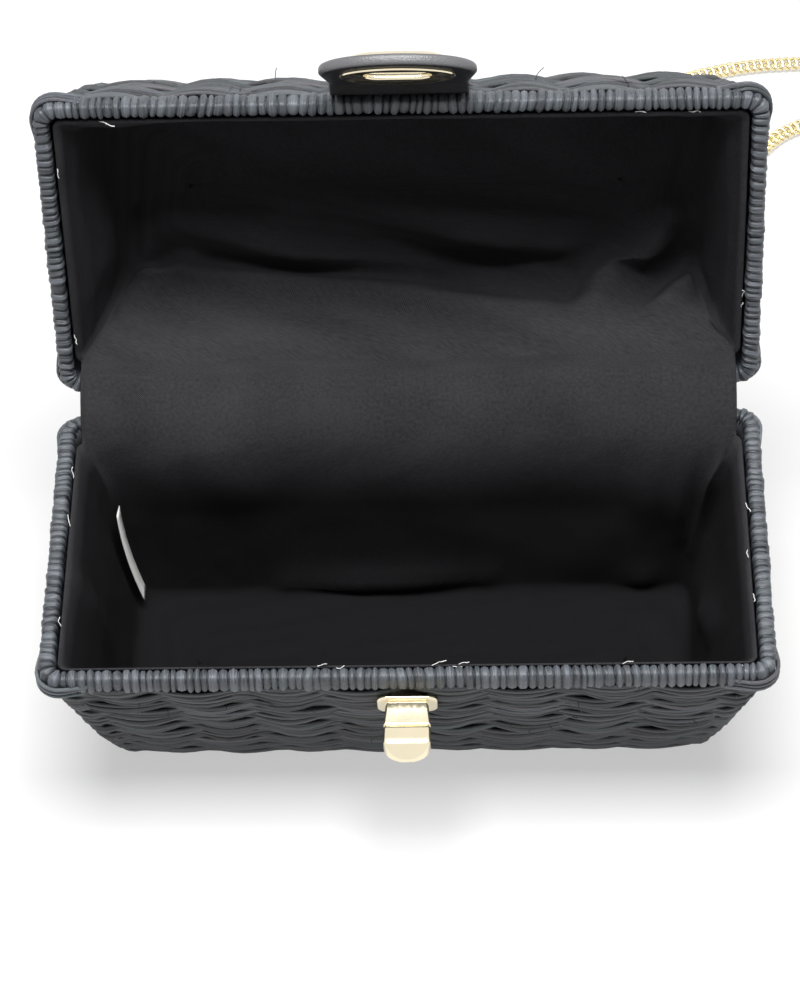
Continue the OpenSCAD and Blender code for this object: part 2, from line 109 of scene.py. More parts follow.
def open_lid(points):
    """Swings points of the shut lid open about the hinge."""
    y = points[..., 1] - hinge_y
    z = points[..., 2] - hinge_z
    c, s = math.cos(open_angle), math.sin(open_angle)
    return np.stack([points[..., 0], hinge_y + c * y + s * z, hinge_z + c * z - s * y], axis=-1)


def in_lid(points):
    return open_lid(points + [0, 0, lid_z])


print("the lid's meeting face at the front opens to", in_lid(np.array([0.0, -half_d, 0.0])).round(1))

# %% [markdown]
# ## Camera
# The photograph looks steeply down into the open bag through a long lens. The edges of the two rims fix the
# place, the tilt and the focal length together, so these numbers come from points read along those edges and
# fitted by least squares. A portrait frame measures Blender's sensor along its height.

# %% Set the camera where the photograph was taken
IMAGE_H = 1000
FOCAL_PIXELS = 3441
SENSOR = 36
eye = Vector((26.1, -634.7, 854.8)) * MM
yaw, pitch, roll = (math.radians(angle) for angle in (-2.5, 50.64, -2.63))
ahead = Vector((math.sin(yaw) * math.cos(pitch), math.cos(yaw) * math.cos(pitch), -math.sin(pitch)))
level = Vector((math.cos(yaw), -math.sin(yaw), 0))
upright = level.cross(ahead)
right = math.cos(roll) * level + math.sin(roll) * upright
up = math.cos(roll) * upright - math.sin(roll) * level


def place_in_scene(name, data):
    made = bpy.data.objects.new(name, data)
    bpy.context.scene.collection.objects.link(made)
    return made


camera = place_in_scene("camera", bpy.data.cameras.new("camera"))
camera.data.sensor_width = SENSOR
camera.data.lens = SENSOR * FOCAL_PIXELS / IMAGE_H
camera.data.clip_start = 0.05
axes = Matrix((right, up, -ahead)).transposed().to_4x4()
camera.matrix_world = Matrix.Translation(eye) @ axes
bpy.context.scene.camera = camera
bpy.context.scene.view_settings.view_transform = "Standard"
print("lens", round(camera.data.lens, 1), "mm")

# %% [markdown]
# ## Writing finishes
# A finish is a small network of nodes. Networks are hard to read as lists of links, so a socket is wrapped
# in a class whose sums and products add Math nodes: `1 - mask` then reads as it would on paper. Every other
# node comes from one method that takes its type, its settings and what goes into its sockets. The world is
# lit by such a network too, so the method belongs to the network and not to the material.


# %% Wrap sockets so that shader maths reads as maths
class Socket:
    """An output of a node. Arithmetic on it adds Math nodes to the same network."""

    def __init__(self, network, output):
        self.network = network
        self.output = output

    def maths(self, operation, first, second):
        return self.network.node("Math", {"operation": operation}, {0: first, 1: second})

    def __add__(self, other):
        return self.maths("ADD", self, other)

    def __radd__(self, other):
        return self.maths("ADD", other, self)

    def __sub__(self, other):
        return self.maths("SUBTRACT", self, other)

    def __rsub__(self, other):
        return self.maths("SUBTRACT", other, self)

    def __mul__(self, other):
        return self.maths("MULTIPLY", self, other)

    def __rmul__(self, other):
        return self.maths("MULTIPLY", other, self)


# %% Gather nodes into networks and finishes
class Network:
    """The nodes of a material or of the world."""

    def __init__(self, owner):
        owner.use_nodes = True
        self.tree = owner.node_tree

    def put(self, socket, value):
        if isinstance(value, Socket):
            self.tree.links.new(value.output, socket)
        else:
            socket.default_value = value

    def node(self, kind, settings, sockets, output=0):
        made = self.tree.nodes.new("ShaderNode" + kind)
        for name, value in settings.items():
            if name == "stops":
                ramp = made.color_ramp.elements
                while len(ramp) < len(value):
                    ramp.new(1)
                for element, (place, colour) in zip(ramp, value):
                    element.position = place
                    element.color = (*colour, 1)
            else:
                setattr(made, name, value)
        for name, value in sockets.items():
            self.put(made.inputs[name], value)
        return Socket(self, made.outputs[output])

    def mix(self, factor, first, second):
        return self.node("Mix", {"data_type": "RGBA"}, {0: factor, 6: (*first, 1), 7: (*second, 1)}, 2)

    def attribute(self, name, output="Fac"):
        return self.node("Attribute", {"attribute_name": name}, {}, output)

    def place(self):
        return self.node("TexCoord", {}, {}, "Object")

    def noise(self, place, scale, detail):
        return self.node("TexNoise", {}, {"Vector": place, "Scale": scale, "Detail": detail})

    def bump(self, strength, distance, height):
        sockets = {"Strength": strength, "Distance": distance * MM, "Height": height}
        return self.node("Bump", {}, sockets)


class Finish(Network):
    """A material and its nodes."""

    def __init__(self, name):
        self.material = bpy.data.materials.new(name)
        super().__init__(self.material)
        self.shader = self.tree.nodes["Principled BSDF"]

    def surface(self, **sockets):
        for name, value in sockets.items():
            self.put(self.shader.inputs[name.replace("_", " ")], value)
        return self.material


trial = Finish("trial")
print("a finish starts as", [node.name for node in trial.tree.nodes])
bpy.data.materials.remove(trial.material)

# %% [markdown]
# ## Pale gold
# The lock, the eyelet, the rings and the chain are cast or stamped metal with a thin pale gold plating.
# Plating is even in colour, and what the eye reads is how sharply it mirrors the room, so it is mostly the
# roughness that wanders, with a little tarnish and a faint ripple left by polishing.


# %% Make the two metals
def plated(name, colour, smooth, worn):
    finish = Finish(name)
    place = finish.place()
    haze = finish.noise(place, 220, 4)
    ripple = finish.noise(place, 900, 2)
    tarnish = finish.noise(place, 60, 3)
    tarnished = finish.mix(tarnish, colour, [0.86 * c for c in colour])
    bump = finish.bump(0.06, 0.2, ripple)
    return finish.surface(Base_Color=tarnished, Metallic=1.0, Roughness=smooth + (worn - smooth) * haze,
                          Normal=bump)


gold = plated("gold_metal", (0.95, 0.85, 0.62), 0.08, 0.22)
chain_gold = plated("chain_metal", (0.95, 0.84, 0.54), 0.16, 0.32)
print("made", gold.name, chain_gold.name)

# %% [markdown]
# ## Tubes, strips and sheets
# Strand, wire and strap are all a section carried along a line. Blender can do it with curves, but a strand
# that swells and dips along its length is easier as rings of points, skinned here into quads. Each point
# also remembers how far along its strand it is and which strand it belongs to, so a finish can run its
# fibres along the strand without a UV map.


# %% Measure lines and directions
def unit(vectors):
    return vectors / np.linalg.norm(vectors, axis=-1, keepdims=True)


def steps_along(points):
    """The distance from each point to the next."""
    return np.linalg.norm(np.diff(points, axis=0), axis=1)


def run_along(points):
    """The distance from the first point to each point, along the line."""
    return np.concatenate([[0], np.cumsum(steps_along(points))])


def full_turn(count):
    """Even angles round a circle."""
    return 2 * np.pi * np.arange(count) / count


def at_height(plan, w):
    """A third column beside two: points of a plan, all at one height."""
    return np.column_stack([plan, np.full(len(plan), w)])


print("a step of 3 across and 4 up is", steps_along(np.array([(0, 0, 0), (3, 4, 0)]))[0], "long")


# %% Skin rings of points into one mesh
class Skin:
    """Collects tubes and sheets, then makes one mesh of them."""

    def __init__(self):
        self.points = []
        self.faces = []
        self.tones = []
        self.grains = []
        self.count = 0

    def add(self, points, faces, tones, grains):
        self.points.append(points)
        self.faces.extend((np.asarray(face) + self.count).tolist() for face in faces)
        self.tones.append(tones)
        self.grains.append(grains)
        self.count += len(points)

    def tube(self, rings, tone=0.5, closed=False, number=0.0, grain=None):
        """Rings of points along a line. closed joins the last ring to the first."""
        stations, sides, _ = rings.shape
        i = np.arange(stations if closed else stations - 1)[:, None]
        j = np.arange(sides)[None, :]
        here, there = i * sides, (i + 1) % stations * sides
        after = (j + 1) % sides
        quads = np.stack([here + j, here + after, there + after, there + j], axis=-1).reshape(-1, 4)
        points = rings.reshape(-1, 3)
        p = points - points.mean(axis=0)
        a, b, c, d = (p[quads[:, k]] for k in range(4))
        volume = np.sum(a * np.cross(b, c)) + np.sum(a * np.cross(c, d))
        ends = [] if closed else [np.arange(sides)[::-1], np.arange(sides) + (stations - 1) * sides]
        if volume < 0:
            quads = quads[:, ::-1]
            ends = [end[::-1] for end in ends]
        if grain is None:
            grain = self.strand_grain(rings, closed, number)
        if np.ndim(tone) < 2:
            tone = np.reshape(tone, (-1, 1))
        tones = np.broadcast_to(tone, (stations, sides)).ravel()
        self.add(points, [*quads, *ends], tones, grain.reshape(-1, 3))

    def strand_grain(self, rings, closed, number):
        """The length along a strand and the turn round it. Each strand has a number, so none look alike."""
        stations, sides, _ = rings.shape
        steps = steps_along(rings.mean(axis=1))
        along = np.concatenate([[0], np.cumsum(steps)])
        if closed:
            along = np.minimum(along, along[-1] + steps[-1] - along)
        turn = full_turn(sides)
        grain = np.zeros((stations, sides, 3))
        grain[..., 0] = along[:, None] + 37 * number
        grain[..., 1] = np.cos(turn) + 3 * number
        grain[..., 2] = np.sin(turn)
        return grain

    def build(self, name, material):
        mesh = bpy.data.meshes.new(name)
        points = np.concatenate(self.points) * MM
        mesh.from_pydata(points.tolist(), [], self.faces)
        tones = np.concatenate(self.tones)
        mesh.attributes.new("tone", "FLOAT", "POINT").data.foreach_set("value", tones)
        grains = np.concatenate(self.grains)
        mesh.attributes.new("grain", "FLOAT_VECTOR", "POINT").data.foreach_set("vector", grains.ravel())
        mesh.polygons.foreach_set("use_smooth", [True] * len(mesh.polygons))
        mesh.validate()
        mesh.update()
        mesh.materials.append(material)
        print(name, len(mesh.polygons), "faces")
        return place_in_scene(name, mesh)


empty = Skin()
print("a skin starts with", empty.count, "points")


# %% Carry sections along lines
def along_curve(points, step):
    """A smooth line through points, cut into even steps."""
    p = np.asarray(points, float)
    p = np.vstack([2 * p[0] - p[1], p, 2 * p[-1] - p[-2]])
    t = np.linspace(0, 1, 24, endpoint=False)[:, None]
    dense = []
    for a, b, c, d in zip(p, p[1:], p[2:], p[3:]):
        dense.append(0.5 * (2 * b + (c - a) * t + (2 * a - 5 * b + 4 * c - d) * t**2
                            + (3 * b - a - 3 * c + d) * t**3))
    dense = np.vstack([*dense, p[-2:-1]])
    length = run_along(dense)
    places = np.linspace(0, length[-1], max(2, round(length[-1] / step) + 1))
    return np.stack([np.interp(places, length, dense[:, k]) for k in range(3)], axis=1)


def headings(path):
    return unit(np.gradient(path, axis=0))


def side_axes(path, first):
    """Two directions across a path that turn with it and don't twist."""
    tangents = headings(path)
    sides = []
    side = np.asarray(first, float)
    for tangent in tangents:
        side = side - side.dot(tangent) * tangent
        side = side / np.linalg.norm(side)
        sides.append(side)
    sides = np.array(sides)
    return sides, np.cross(tangents, sides)


def ring_up(path, across, over, section):
    """Rings of a flat section, given as (across, over) pairs, at the points of a path."""
    section = np.asarray(section, float)
    return path[:, None] + across[:, None] * section[None, :, :1] + over[:, None] * section[None, :, 1:]


def sweep(path, section, first):
    return ring_up(path, *side_axes(path, first), section)


def round_section(radius, sides):
    turn = full_turn(sides)
    return np.stack([radius * np.cos(turn), radius * np.sin(turn)], axis=1)


def one_tube(name, material, *tube):
    """A piece that is a single tube."""
    skin = Skin()
    skin.tube(*tube)
    return skin.build(name, material)


def finish_piece(piece, body, slot, *replaced):
    """Carries a piece on a body and hides the solids that it stands for."""
    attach(piece, body)
    if replaced:
        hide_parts(*replaced)
    return piece


print("a bent line of 4 mm has", len(along_curve([(0, 0, 0), (2, 1, 0), (4, 0, 0)], 1.0)), "points")

# %% [markdown]
# ## Chain
# The strap is a curb chain of about 1.2 m, the usual length for wearing a small bag across the body. Each
# link is an oval of round wire, twisted so that one end leans up and the other down, and so the links pass
# through each other and still lie flat. The photograph shows two short stretches of it behind the bag at the
# right. Its right half lies there, and the rest is laid in two turns behind the lid and comes back to the
# left end.

# %% Lay the chain's line, from the right end ring round to the left one
lie = 1.8
coil_x, coil_y = -18, 172
ring_low, ring_high = box_mm("end_ring_right")
chain_top = ring_low[2] - 0.2
ring_x = (ring_low[0] + ring_high[0]) / 2
drop = [(ring_x, 8, chain_top), (ring_x, 8, chain_top - 6), (103, 10, 12), (103, 14, 7), (102, 22, lie),
        (101, 36, lie)]
right_floor = [(99, 60), (96, 90), (95, 120), (97, 150), (102, 179), (112, 206), (126, 226), (145, 236),
               (157, 245), (160, 255), (152, 262), (138, 263), (120, 262), (102, 258), (82, 250), (62, 239.5),
               (40, 229), (16, 222), (-6, 220.5)]
left_floor = [(-77, 138), (-87, 120), (-94, 100), (-97, 80), (-99, 56)]
coil = []
for degrees in range(90, 900, 15):
    radius = np.interp(degrees, (76, 140, 436, 500, 810, 855, 900), (50, 44, 43, 36.6, 36.2, 41.5, 49))
    height = np.interp(degrees, (780, 825, 865, 900), (0, 2.6, 3.3, 2.6))
    turn = math.radians(degrees)
    coil.append((coil_x + radius * math.cos(turn), coil_y + radius * math.sin(turn), lie + height))
off_coil = [(-67, 172, lie + 2.4), (-70, 154, lie + 0.6)]
chain_points = drop + [(x, y, lie) for x, y in right_floor] + coil + off_coil
chain_points += [(x, y, lie) for x, y in left_floor] + [(-x, y, z) for x, y, z in reversed(drop)]
chain_line = along_curve(chain_points, 1.0)

# %% Thread the links on it
LINK_PITCH = 2.5
LINK_HALF_LENGTH = 1.88
LINK_HALF_WIDTH = 2.4
LINK_TWIST = 0.72
LINK_WIRE = 0.6
LINK_STEPS = 20
LINK_ROLL = 0.1


def curb_link():
    """Rings of one link lying flat, its length along x."""
    turn = np.linspace(0, 2 * np.pi, LINK_STEPS, endpoint=False)
    middle = np.stack([LINK_HALF_LENGTH * np.cos(turn), LINK_HALF_WIDTH * np.sin(turn),
                       LINK_TWIST * np.sin(2 * turn)], axis=1)
    heading = unit(np.roll(middle, -1, axis=0) - np.roll(middle, 1, axis=0))
    outward = unit(np.stack([heading[:, 1], -heading[:, 0], np.zeros(LINK_STEPS)], axis=1))
    return ring_up(middle, outward, np.cross(heading, outward), round_section(LINK_WIRE, 6))


link = curb_link()
links = Skin()
places = along_curve(chain_points, LINK_PITCH)
chain_random = random.Random(7)
for number, (place, way) in enumerate(zip(places, headings(places))):
    hangs = abs(way[2]) >= 0.8
    flat = np.array([0.0, 1.0, 0.0]) if hangs else unit(np.cross(way, [0, 0, 1]))
    over = np.cross(flat, way)
    twist = chain_random.uniform(-LINK_ROLL, LINK_ROLL)
    across = math.cos(twist) * flat + math.sin(twist) * over
    links.tube(place + link @ np.stack([way, across, np.cross(way, across)]), 0.5, True, number)
chain = links.build("chain", chain_gold)
finish_piece(chain, "base", "chain_metal", "chain_left", "chain_right", "chain_coil")
print(len(places), "links")

# %% [markdown]
# ## Dyed straw
# The trays are woven from a grass or raffia that has been dyed black. Dye takes unevenly: each strand is its
# own slate grey, a little bluer or greener than the next, with fine fibres along it and a satin shine. The
# strand's own tone and its length, kept at each point, drive the colour, and a noise drawn out along the
# length gives the fibres. On the whipped rims the tone also holds painted shade in the grooves.

# %% Make the straw's finish
STRAW_TINTS = [(0.25, (0.8, 0.98, 0.97)), (0.42, (0.95, 1.0, 1.02)), (0.56, (0.92, 0.97, 1.08)),
               (0.74, (1.05, 0.96, 1.03))]


def dyed_straw(name, dark, light, shine, bright):
    finish = Finish(name)
    tone = finish.attribute("tone")
    grain = finish.attribute("grain", "Vector")
    drawn = finish.node("Mapping", {}, {"Vector": grain, "Scale": (0.06, 1.6, 1.6)})
    fibres = finish.node("TexNoise", {}, {"Vector": drawn, "Scale": 2.6, "Detail": 5, "Roughness": 0.65})
    slow = finish.node("Mapping", {}, {"Vector": grain, "Scale": (0.06, 0.2, 0.2)})
    patches = finish.noise(slow, 1.0, 2)
    worn = finish.node("MapRange", {}, {"Value": fibres, "From Min": 0.35, "From Max": 0.7})
    dyed = finish.mix(0.75 * tone + 0.5 * worn + 0.35 * patches - 0.32, dark, light)
    hue = finish.node("TexNoise", {"noise_dimensions": "1D"}, {"W": 31 * tone, "Scale": 1.0, "Detail": 0})
    tint = finish.node("ValToRGB", {"stops": STRAW_TINTS}, {"Fac": hue})
    multiply = {"data_type": "RGBA", "blend_type": "MULTIPLY"}
    colour = finish.node("Mix", multiply, {0: 1.0, 6: dyed, 7: tint}, 2)
    split = finish.bump(0.7, 0.4, fibres)
    return finish.surface(Base_Color=colour, Roughness=shine + 0.25 * worn, Normal=split,
                          Specular_IOR_Level=bright)


straw = dyed_straw("straw", (0.008, 0.009, 0.01), (0.125, 0.129, 0.132), 0.36, 0.5)
whipping = dyed_straw("whipping", (0.008, 0.01, 0.012), (0.18, 0.19, 0.205), 0.3, 0.6)
print("made", straw.name, whipping.name)

# %% [markdown]
# ## Woven walls
# The trays are plain weave: bundles of three strands pass in front of one hidden stake and behind the next,
# about 24 mm on, so they bow out across each span and pinch together between. A woven pattern could be bump
# on a plain wall, but the bowed strands make the outline and catch the light, so every strand is a mesh.

# %% Find the tray's outline
SPANS_LONG, SPANS_SHORT = 8, 4


def outline(a, b, r, n_long, n_corner, n_short):
    """Points round a rounded rectangle and their outward normals, anticlockwise from the front left."""
    x, y = a - r, b - r
    points, normals = [], []

    def straight(start, stop, count, normal):
        for k in range(count):
            points.append(np.add(start, np.subtract(stop, start) * k / count))
            normals.append(normal)

    def corner(cx, cy, first):
        for k in range(n_corner):
            turn = math.radians(first + 90 * k / n_corner)
            normals.append((math.cos(turn), math.sin(turn)))
            points.append((cx + r * math.cos(turn), cy + r * math.sin(turn)))

    straight((-x, -b), (x, -b), n_long, (0, -1))
    corner(x, -y, -90)
    straight((a, -y), (a, y), n_short, (1, 0))
    corner(x, y, 0)
    straight((x, b), (-x, b), n_long, (0, 1))
    corner(-x, y, 90)
    straight((-a, y), (-a, -y), n_short, (-1, 0))
    corner(-x, -y, 180)
    return np.array(points, float), np.array(normals, float)


print("a tray's outline in spans has", len(outline(wall_a, wall_b, corner_r, SPANS_LONG, 1, SPANS_SHORT)[0]))


# %% Find the wall's section
def lean_length(h, r, lean):
    return (h - r + r * math.sin(lean) - rim_h) / math.cos(lean)


def section_length(h, r, lean):
    return lean_length(h, r, lean) + r * (math.pi / 2 - lean)


def section(v, h, r, lean):
    """Where the wall is after a length v down it: distance from the meeting face, inset and turn."""
    upright_l = lean_length(h, r, lean)
    if v <= upright_l:
        return rim_h + v * math.cos(lean), v * math.sin(lean), lean
    turn = lean + (v - upright_l) / r
    inset = upright_l * math.sin(lean) + r * (math.cos(lean) - math.cos(turn))
    return h - r + r * math.sin(turn), inset, turn


base_shape = (base_h, floor_r, base_lean)
lid_shape = (lid_h, crown_r, lid_lean)
print("wall lengths", [round(section_length(*shape), 1) for shape in (base_shape, lid_shape)])

# %% Weave the strands of a wall
ROW_PITCH = 2.75
SPAN_STEPS = 6
STRAND_SIDES = 6
FADE_ROWS = 9
SUNK, SUNK_LESS = 1.2, 0.4
BOW_LEAST, BOW_MORE = 0.2, 1.6
BOW_BEHIND = 0.15
MIDDLE_BOW = 0.25
STRAND_APART, OPENS = 0.95, 0.8
STRAND_THICK, STRAND_TALL = 0.6, 0.85
BOW_SAG = 0.9


def wander(draw, stations, knots, size):
    """A smooth random line round a closed row."""
    values = [draw.uniform(-size, size) for _ in range(knots)]
    return np.interp(np.arange(stations) * knots / stations, np.arange(knots + 1), values + values[:1])


def strand_rings(middle, out, down, thick, tall):
    turn = full_turn(STRAND_SIDES)
    return (middle[:, None] + (thick[:, None] * np.cos(turn))[..., None] * out[:, None]
            + (tall[:, None] * np.sin(turn))[..., None] * down[:, None])


def weave_wall(skin, place, shape, draw):
    """Bundles of strands woven round a tray, from under its rim to its flat panel, where the bows fade."""
    length = section_length(*shape)
    rows = 2 * round(length / (2 * ROW_PITCH))
    spans = 2 * (SPANS_LONG + SPANS_SHORT) + 4
    stations = spans * SPAN_STEPS
    for row in range(rows + 1):
        w, inset, turn = section(length * row / rows, *shape)
        plan, normal = outline(wall_a - inset, wall_b - inset, corner_r, SPANS_LONG * SPAN_STEPS, SPAN_STEPS,
                               SPANS_SHORT * SPAN_STEPS)
        middle = at_height(plan, w)
        out = at_height(normal * math.cos(turn), math.sin(turn))
        down = at_height(-normal * math.sin(turn), math.cos(turn))
        start = draw.uniform(-0.5, 0.5)
        phase = (np.arange(stations) + start + wander(draw, stations, spans, 0.6)) / SPAN_STEPS
        side = np.where((row + np.floor(phase)) % 2 == 0, 1.0, -1.0)
        bow = np.sin(np.pi * (phase % 1)) * side
        front, behind = np.clip(bow, 0, 1), np.clip(-bow, 0, 1)
        fade = min(1.0, (rows - row) / FADE_ROWS)
        for part in (-1, 0, 1):
            reach = -SUNK + SUNK_LESS * fade + (BOW_LEAST + BOW_MORE * fade) * front - BOW_BEHIND * behind
            reach = reach + MIDDLE_BOW * fade * front * (1 - abs(part)) + fade * draw.uniform(-0.12, 0.12)
            reach = reach + wander(draw, stations, 2 * spans, 0.14)
            slip = part * (STRAND_APART + OPENS * front) + wander(draw, stations, 2 * spans, 0.3)
            slip = slip + draw.uniform(-0.2, 0.2)
            thick = STRAND_THICK + 0.12 * front + wander(draw, stations, spans, 0.08)
            tall = STRAND_TALL + 0.2 * front + wander(draw, stations, spans, 0.14)
            sag = slip * (0.3 + 0.7 * fade) + BOW_SAG * front * fade
            line = middle + out * reach[:, None] + down * sag[:, None]
            number = draw.random()
            skin.tube(place(strand_rings(line, out, down, thick, tall)), number, True, 10 * number)
    return rows


print("rows are", ROW_PITCH, "mm apart")

# %% Back the strands and let a few fibres spring out
BACKING_DEPTHS = (1.2, 2.2)
BACKING_TONE = 0.42
FRAYS = 40
FRAY_R = 0.13


def backing(skin, place, shape):
    """The stakes and the strands' hidden backs, as one thin shell that lets no light through."""
    outer, inner = [], []
    for v in np.linspace(-4, section_length(*shape), 16):
        w, inset, turn = section(v, *shape)
        for side, depth in zip((outer, inner), BACKING_DEPTHS):
            into = inset + depth * math.cos(turn)
            plan, _ = outline(wall_a - into, wall_b - into, corner_r - 1, SPANS_LONG, 6, SPANS_SHORT)
            side.append(at_height(plan, w - depth * math.sin(turn)))
    loops = np.array(outer + inner[::-1]).transpose(1, 0, 2)
    skin.tube(place(loops), BACKING_TONE, True)


def frays(skin, place, shape, draw):
    """Short fibres that have sprung out of the wall."""
    length = section_length(*shape)
    for number in range(FRAYS):
        w, inset, turn = section(length * draw.uniform(0, 0.6), *shape)
        plan, normal = outline(wall_a - inset, wall_b - inset, corner_r, 60, 12, 30)
        spot = draw.randrange(len(plan))
        out = np.array([*(normal[spot] * math.cos(turn)), math.sin(turn)])
        lean_to = np.array([draw.uniform(-1, 1) for _ in range(3)])
        root = np.array([*plan[spot], w]) + 0.6 * out
        reach = draw.uniform(1.5, 4)
        path = [root, root + reach * (0.5 * out + 0.2 * lean_to), root + reach * (0.7 * out + 0.8 * lean_to)]
        fibre = sweep(along_curve(path, 0.8), round_section(FRAY_R, 4), np.cross(out, lean_to))
        skin.tube(place(fibre), draw.random(), False, number)


print(FRAYS, "fibres spring out of each tray")

# %% [markdown]
# ## Flat panels
# The bottom of the base and the top of the lid carry the weave on: the strands of the two long walls run
# straight across the panel and pass over and under the same stakes.

# %% Weave a panel
PANEL_SUNK = 1.3
PANEL_STRAND = 0.7


def weave_panel(skin, place, shape, draw):
    _, inset, _ = section(section_length(*shape), *shape)
    a, b = wall_a - inset, wall_b - inset
    span = 2 * (a - corner_r) / SPANS_LONG
    rows = round(2 * b / ROW_PITCH)
    for row in range(rows):
        y = -b + ROW_PITCH / 2 + row * (2 * b - ROW_PITCH) / (rows - 1)
        past = max(0.0, abs(y) - (b - corner_r))
        half_l = a - corner_r + math.sqrt(corner_r**2 - past**2) + 1
        x = np.linspace(-half_l, half_l, 1 + 2 * round(half_l / 4))
        bow = np.sin(np.pi * x / span) * (1 if row % 2 else -1)
        front = np.clip(bow, 0, 1)
        stations = len(x)
        thick = np.full(stations, PANEL_STRAND)
        out = np.broadcast_to([0.0, 0.0, 1.0], (stations, 3))
        beside = np.broadcast_to([0.0, 1.0, 0.0], (stations, 3))
        for half in (-1, 1):
            rise = shape[0] - PANEL_SUNK + 0.4 * bow + wander(draw, stations, 20, 0.08)
            slip = half * (0.62 + 0.4 * front) + wander(draw, stations, 20, 0.2)
            line = np.column_stack([x, y + slip, rise])
            number = draw.random()
            rings = strand_rings(line, out, beside, thick, PANEL_STRAND + 0.3 * front)
            skin.tube(place(rings), number, False, 10 * number)


for body, place, shape, seed in (("base", in_base, base_shape, 11), ("lid", in_lid, lid_shape, 12)):
    weave = Skin()
    draw = random.Random(seed)
    bundles = weave_wall(weave, place, shape, draw)
    backing(weave, place, shape)
    frays(weave, place, shape, draw)
    weave_panel(weave, place, shape, draw)
    finish_piece(weave.build(body + "_weave", straw), body, "straw", body + "_basket")
    print(body, bundles, "bundles of strands up the wall")

# %% [markdown]
# ## Whipped rims
# A core of cane runs round each mouth, and a thinner strand is wound over it and the ends of the stakes, turn
# beside turn, about 240 turns to a rim. A helix of separate tube would hide most of itself, so the rim is one
# skin that swells over each turn and dips between two, and every turn has its own width, slant, fibres and
# tone, darkened into the grooves and between the fibres as painted shade. At the corners the winding leaves
# the core's outer strands bare.

# %% Find places round a rim
rim_shape = (half_w - rim_t / 2, half_d - rim_t / 2, rim_r - rim_t / 2)


def round_rim(s):
    """Points and outward normals at distances s round the rim's middle line, and its whole length."""
    plan, normal = outline(*rim_shape, 200, 40, 100)
    plan = np.vstack([plan, plan[:1]])
    angle = np.unwrap(np.arctan2(normal[:, 1], normal[:, 0]))
    angle = np.append(angle, angle[0] + 2 * np.pi)
    length = run_along(plan)
    rest = np.mod(s, length[-1])
    angle = np.interp(rest, length, angle)
    return (np.interp(rest, length, plan[:, 0]), np.interp(rest, length, plan[:, 1]), np.cos(angle),
            np.sin(angle), length[-1])


print("a rim is", round(round_rim(np.zeros(1))[4]), "mm round")

# %% Wind the rims
TURN_PITCH = 2.5
TURN_STEPS = 12
RIM_SIDES = 20
SQUARENESS = 0.58
SLANTS = 60
RIM_IN = 0.1
TURN_WIDTHS = (0.7, 1.3)
TURN_PROUD = (-0.15, 0.3)
TURN_SLANT = (-0.3, 0.5)
TURN_TONES = (0.3, 0.95)
GROOVE, GROOVE_MORE = 0.7, 0.6
FIBRE_DEPTH = 0.14
BARE_R = 0.6
BARE_STEPS = 24


def whipped_skin(place, draw):
    """The rim's skin, swelling over each turn of the whipping."""
    around = round_rim(np.zeros(1))[4]
    turns = round(around / TURN_PITCH)
    widths = np.array([draw.uniform(*TURN_WIDTHS) for _ in range(turns)])
    widths *= around / widths.sum()
    starts = np.concatenate([[0], np.cumsum(widths)[:-1]])
    part = np.arange(TURN_STEPS) / TURN_STEPS
    s = (starts[:, None] + widths[:, None] * part).ravel()
    swell = np.tile(np.sin(np.pi * part) ** 0.6, turns)
    fibres = [draw.choice((2, 3, 3, 4)) for _ in range(turns)]
    ridge = np.concatenate([0.5 - 0.5 * np.cos(2 * np.pi * count * part) for count in fibres])
    groove = np.repeat([GROOVE + GROOVE_MORE * draw.random() ** 2 for _ in range(turns)], TURN_STEPS)
    proud = np.repeat([draw.uniform(*TURN_PROUD) for _ in range(turns)], TURN_STEPS)
    slant = np.interp(np.arange(turns * TURN_STEPS), np.linspace(0, turns * TURN_STEPS, SLANTS),
                      [draw.uniform(*TURN_SLANT) for _ in range(SLANTS)])
    tone = np.repeat([draw.uniform(*TURN_TONES) for _ in range(turns)], TURN_STEPS)
    # Painted shade: each turn's tone drops towards the grooves between turns and between its fibres.
    tone = tone * (0.25 + 0.75 * swell) * (0.72 + 0.28 * ridge)
    angle = full_turn(RIM_SIDES)
    n, w = (np.sign(wave) * np.abs(wave) ** SQUARENESS for wave in (np.cos(angle), np.sin(angle)))
    x, y, nx, ny, _ = round_rim(s[:, None] + slant[:, None] * n)
    inward = RIM_IN + groove * (1 - swell) - proud * swell + FIBRE_DEPTH * (1 - ridge) * swell
    across = (rim_t / 2 - inward)[:, None] * n
    along_w = rim_h / 2 + (rim_h / 2 - inward)[:, None] * w
    rings = np.stack([x + nx * across, y + ny * across, along_w], axis=-1)
    strip = np.broadcast_to(s[:, None], across.shape)
    wound = np.broadcast_to(3.6 * angle, across.shape)
    turn_number = np.broadcast_to(np.repeat(np.arange(turns), TURN_STEPS)[:, None], across.shape)
    skin = Skin()
    skin.tube(place(rings), tone, True, 0, np.stack([wound, 0.45 * strip, turn_number], axis=-1))
    return skin, turns


def bare_corners(skin, place, draw):
    """Three strands of the core that show round each corner."""
    a, b, r = rim_shape
    long_l, short_l, arc = 2 * (a - r), 2 * (b - r), math.pi * r / 2
    for middle in (long_l + arc / 2, long_l + 1.5 * arc + short_l, 2 * long_l + 2.5 * arc + short_l,
                   2 * long_l + 3.5 * arc + 2 * short_l):
        for height in (0.5, 0.72, 0.94):
            t = np.linspace(0, 1, BARE_STEPS)
            x, y, nx, ny, _ = round_rim(middle + draw.uniform(9, 13) * (2 * t - 1))
            out = rim_t / 2 - 1.2 + 1.7 * np.sin(np.pi * t)
            bare = np.stack([x + nx * out, y + ny * out, np.full(BARE_STEPS, rim_h * height)], axis=1)
            skin.tube(place(sweep(bare, round_section(BARE_R, 6), (0, 0, 1))), draw.random(), False, height)


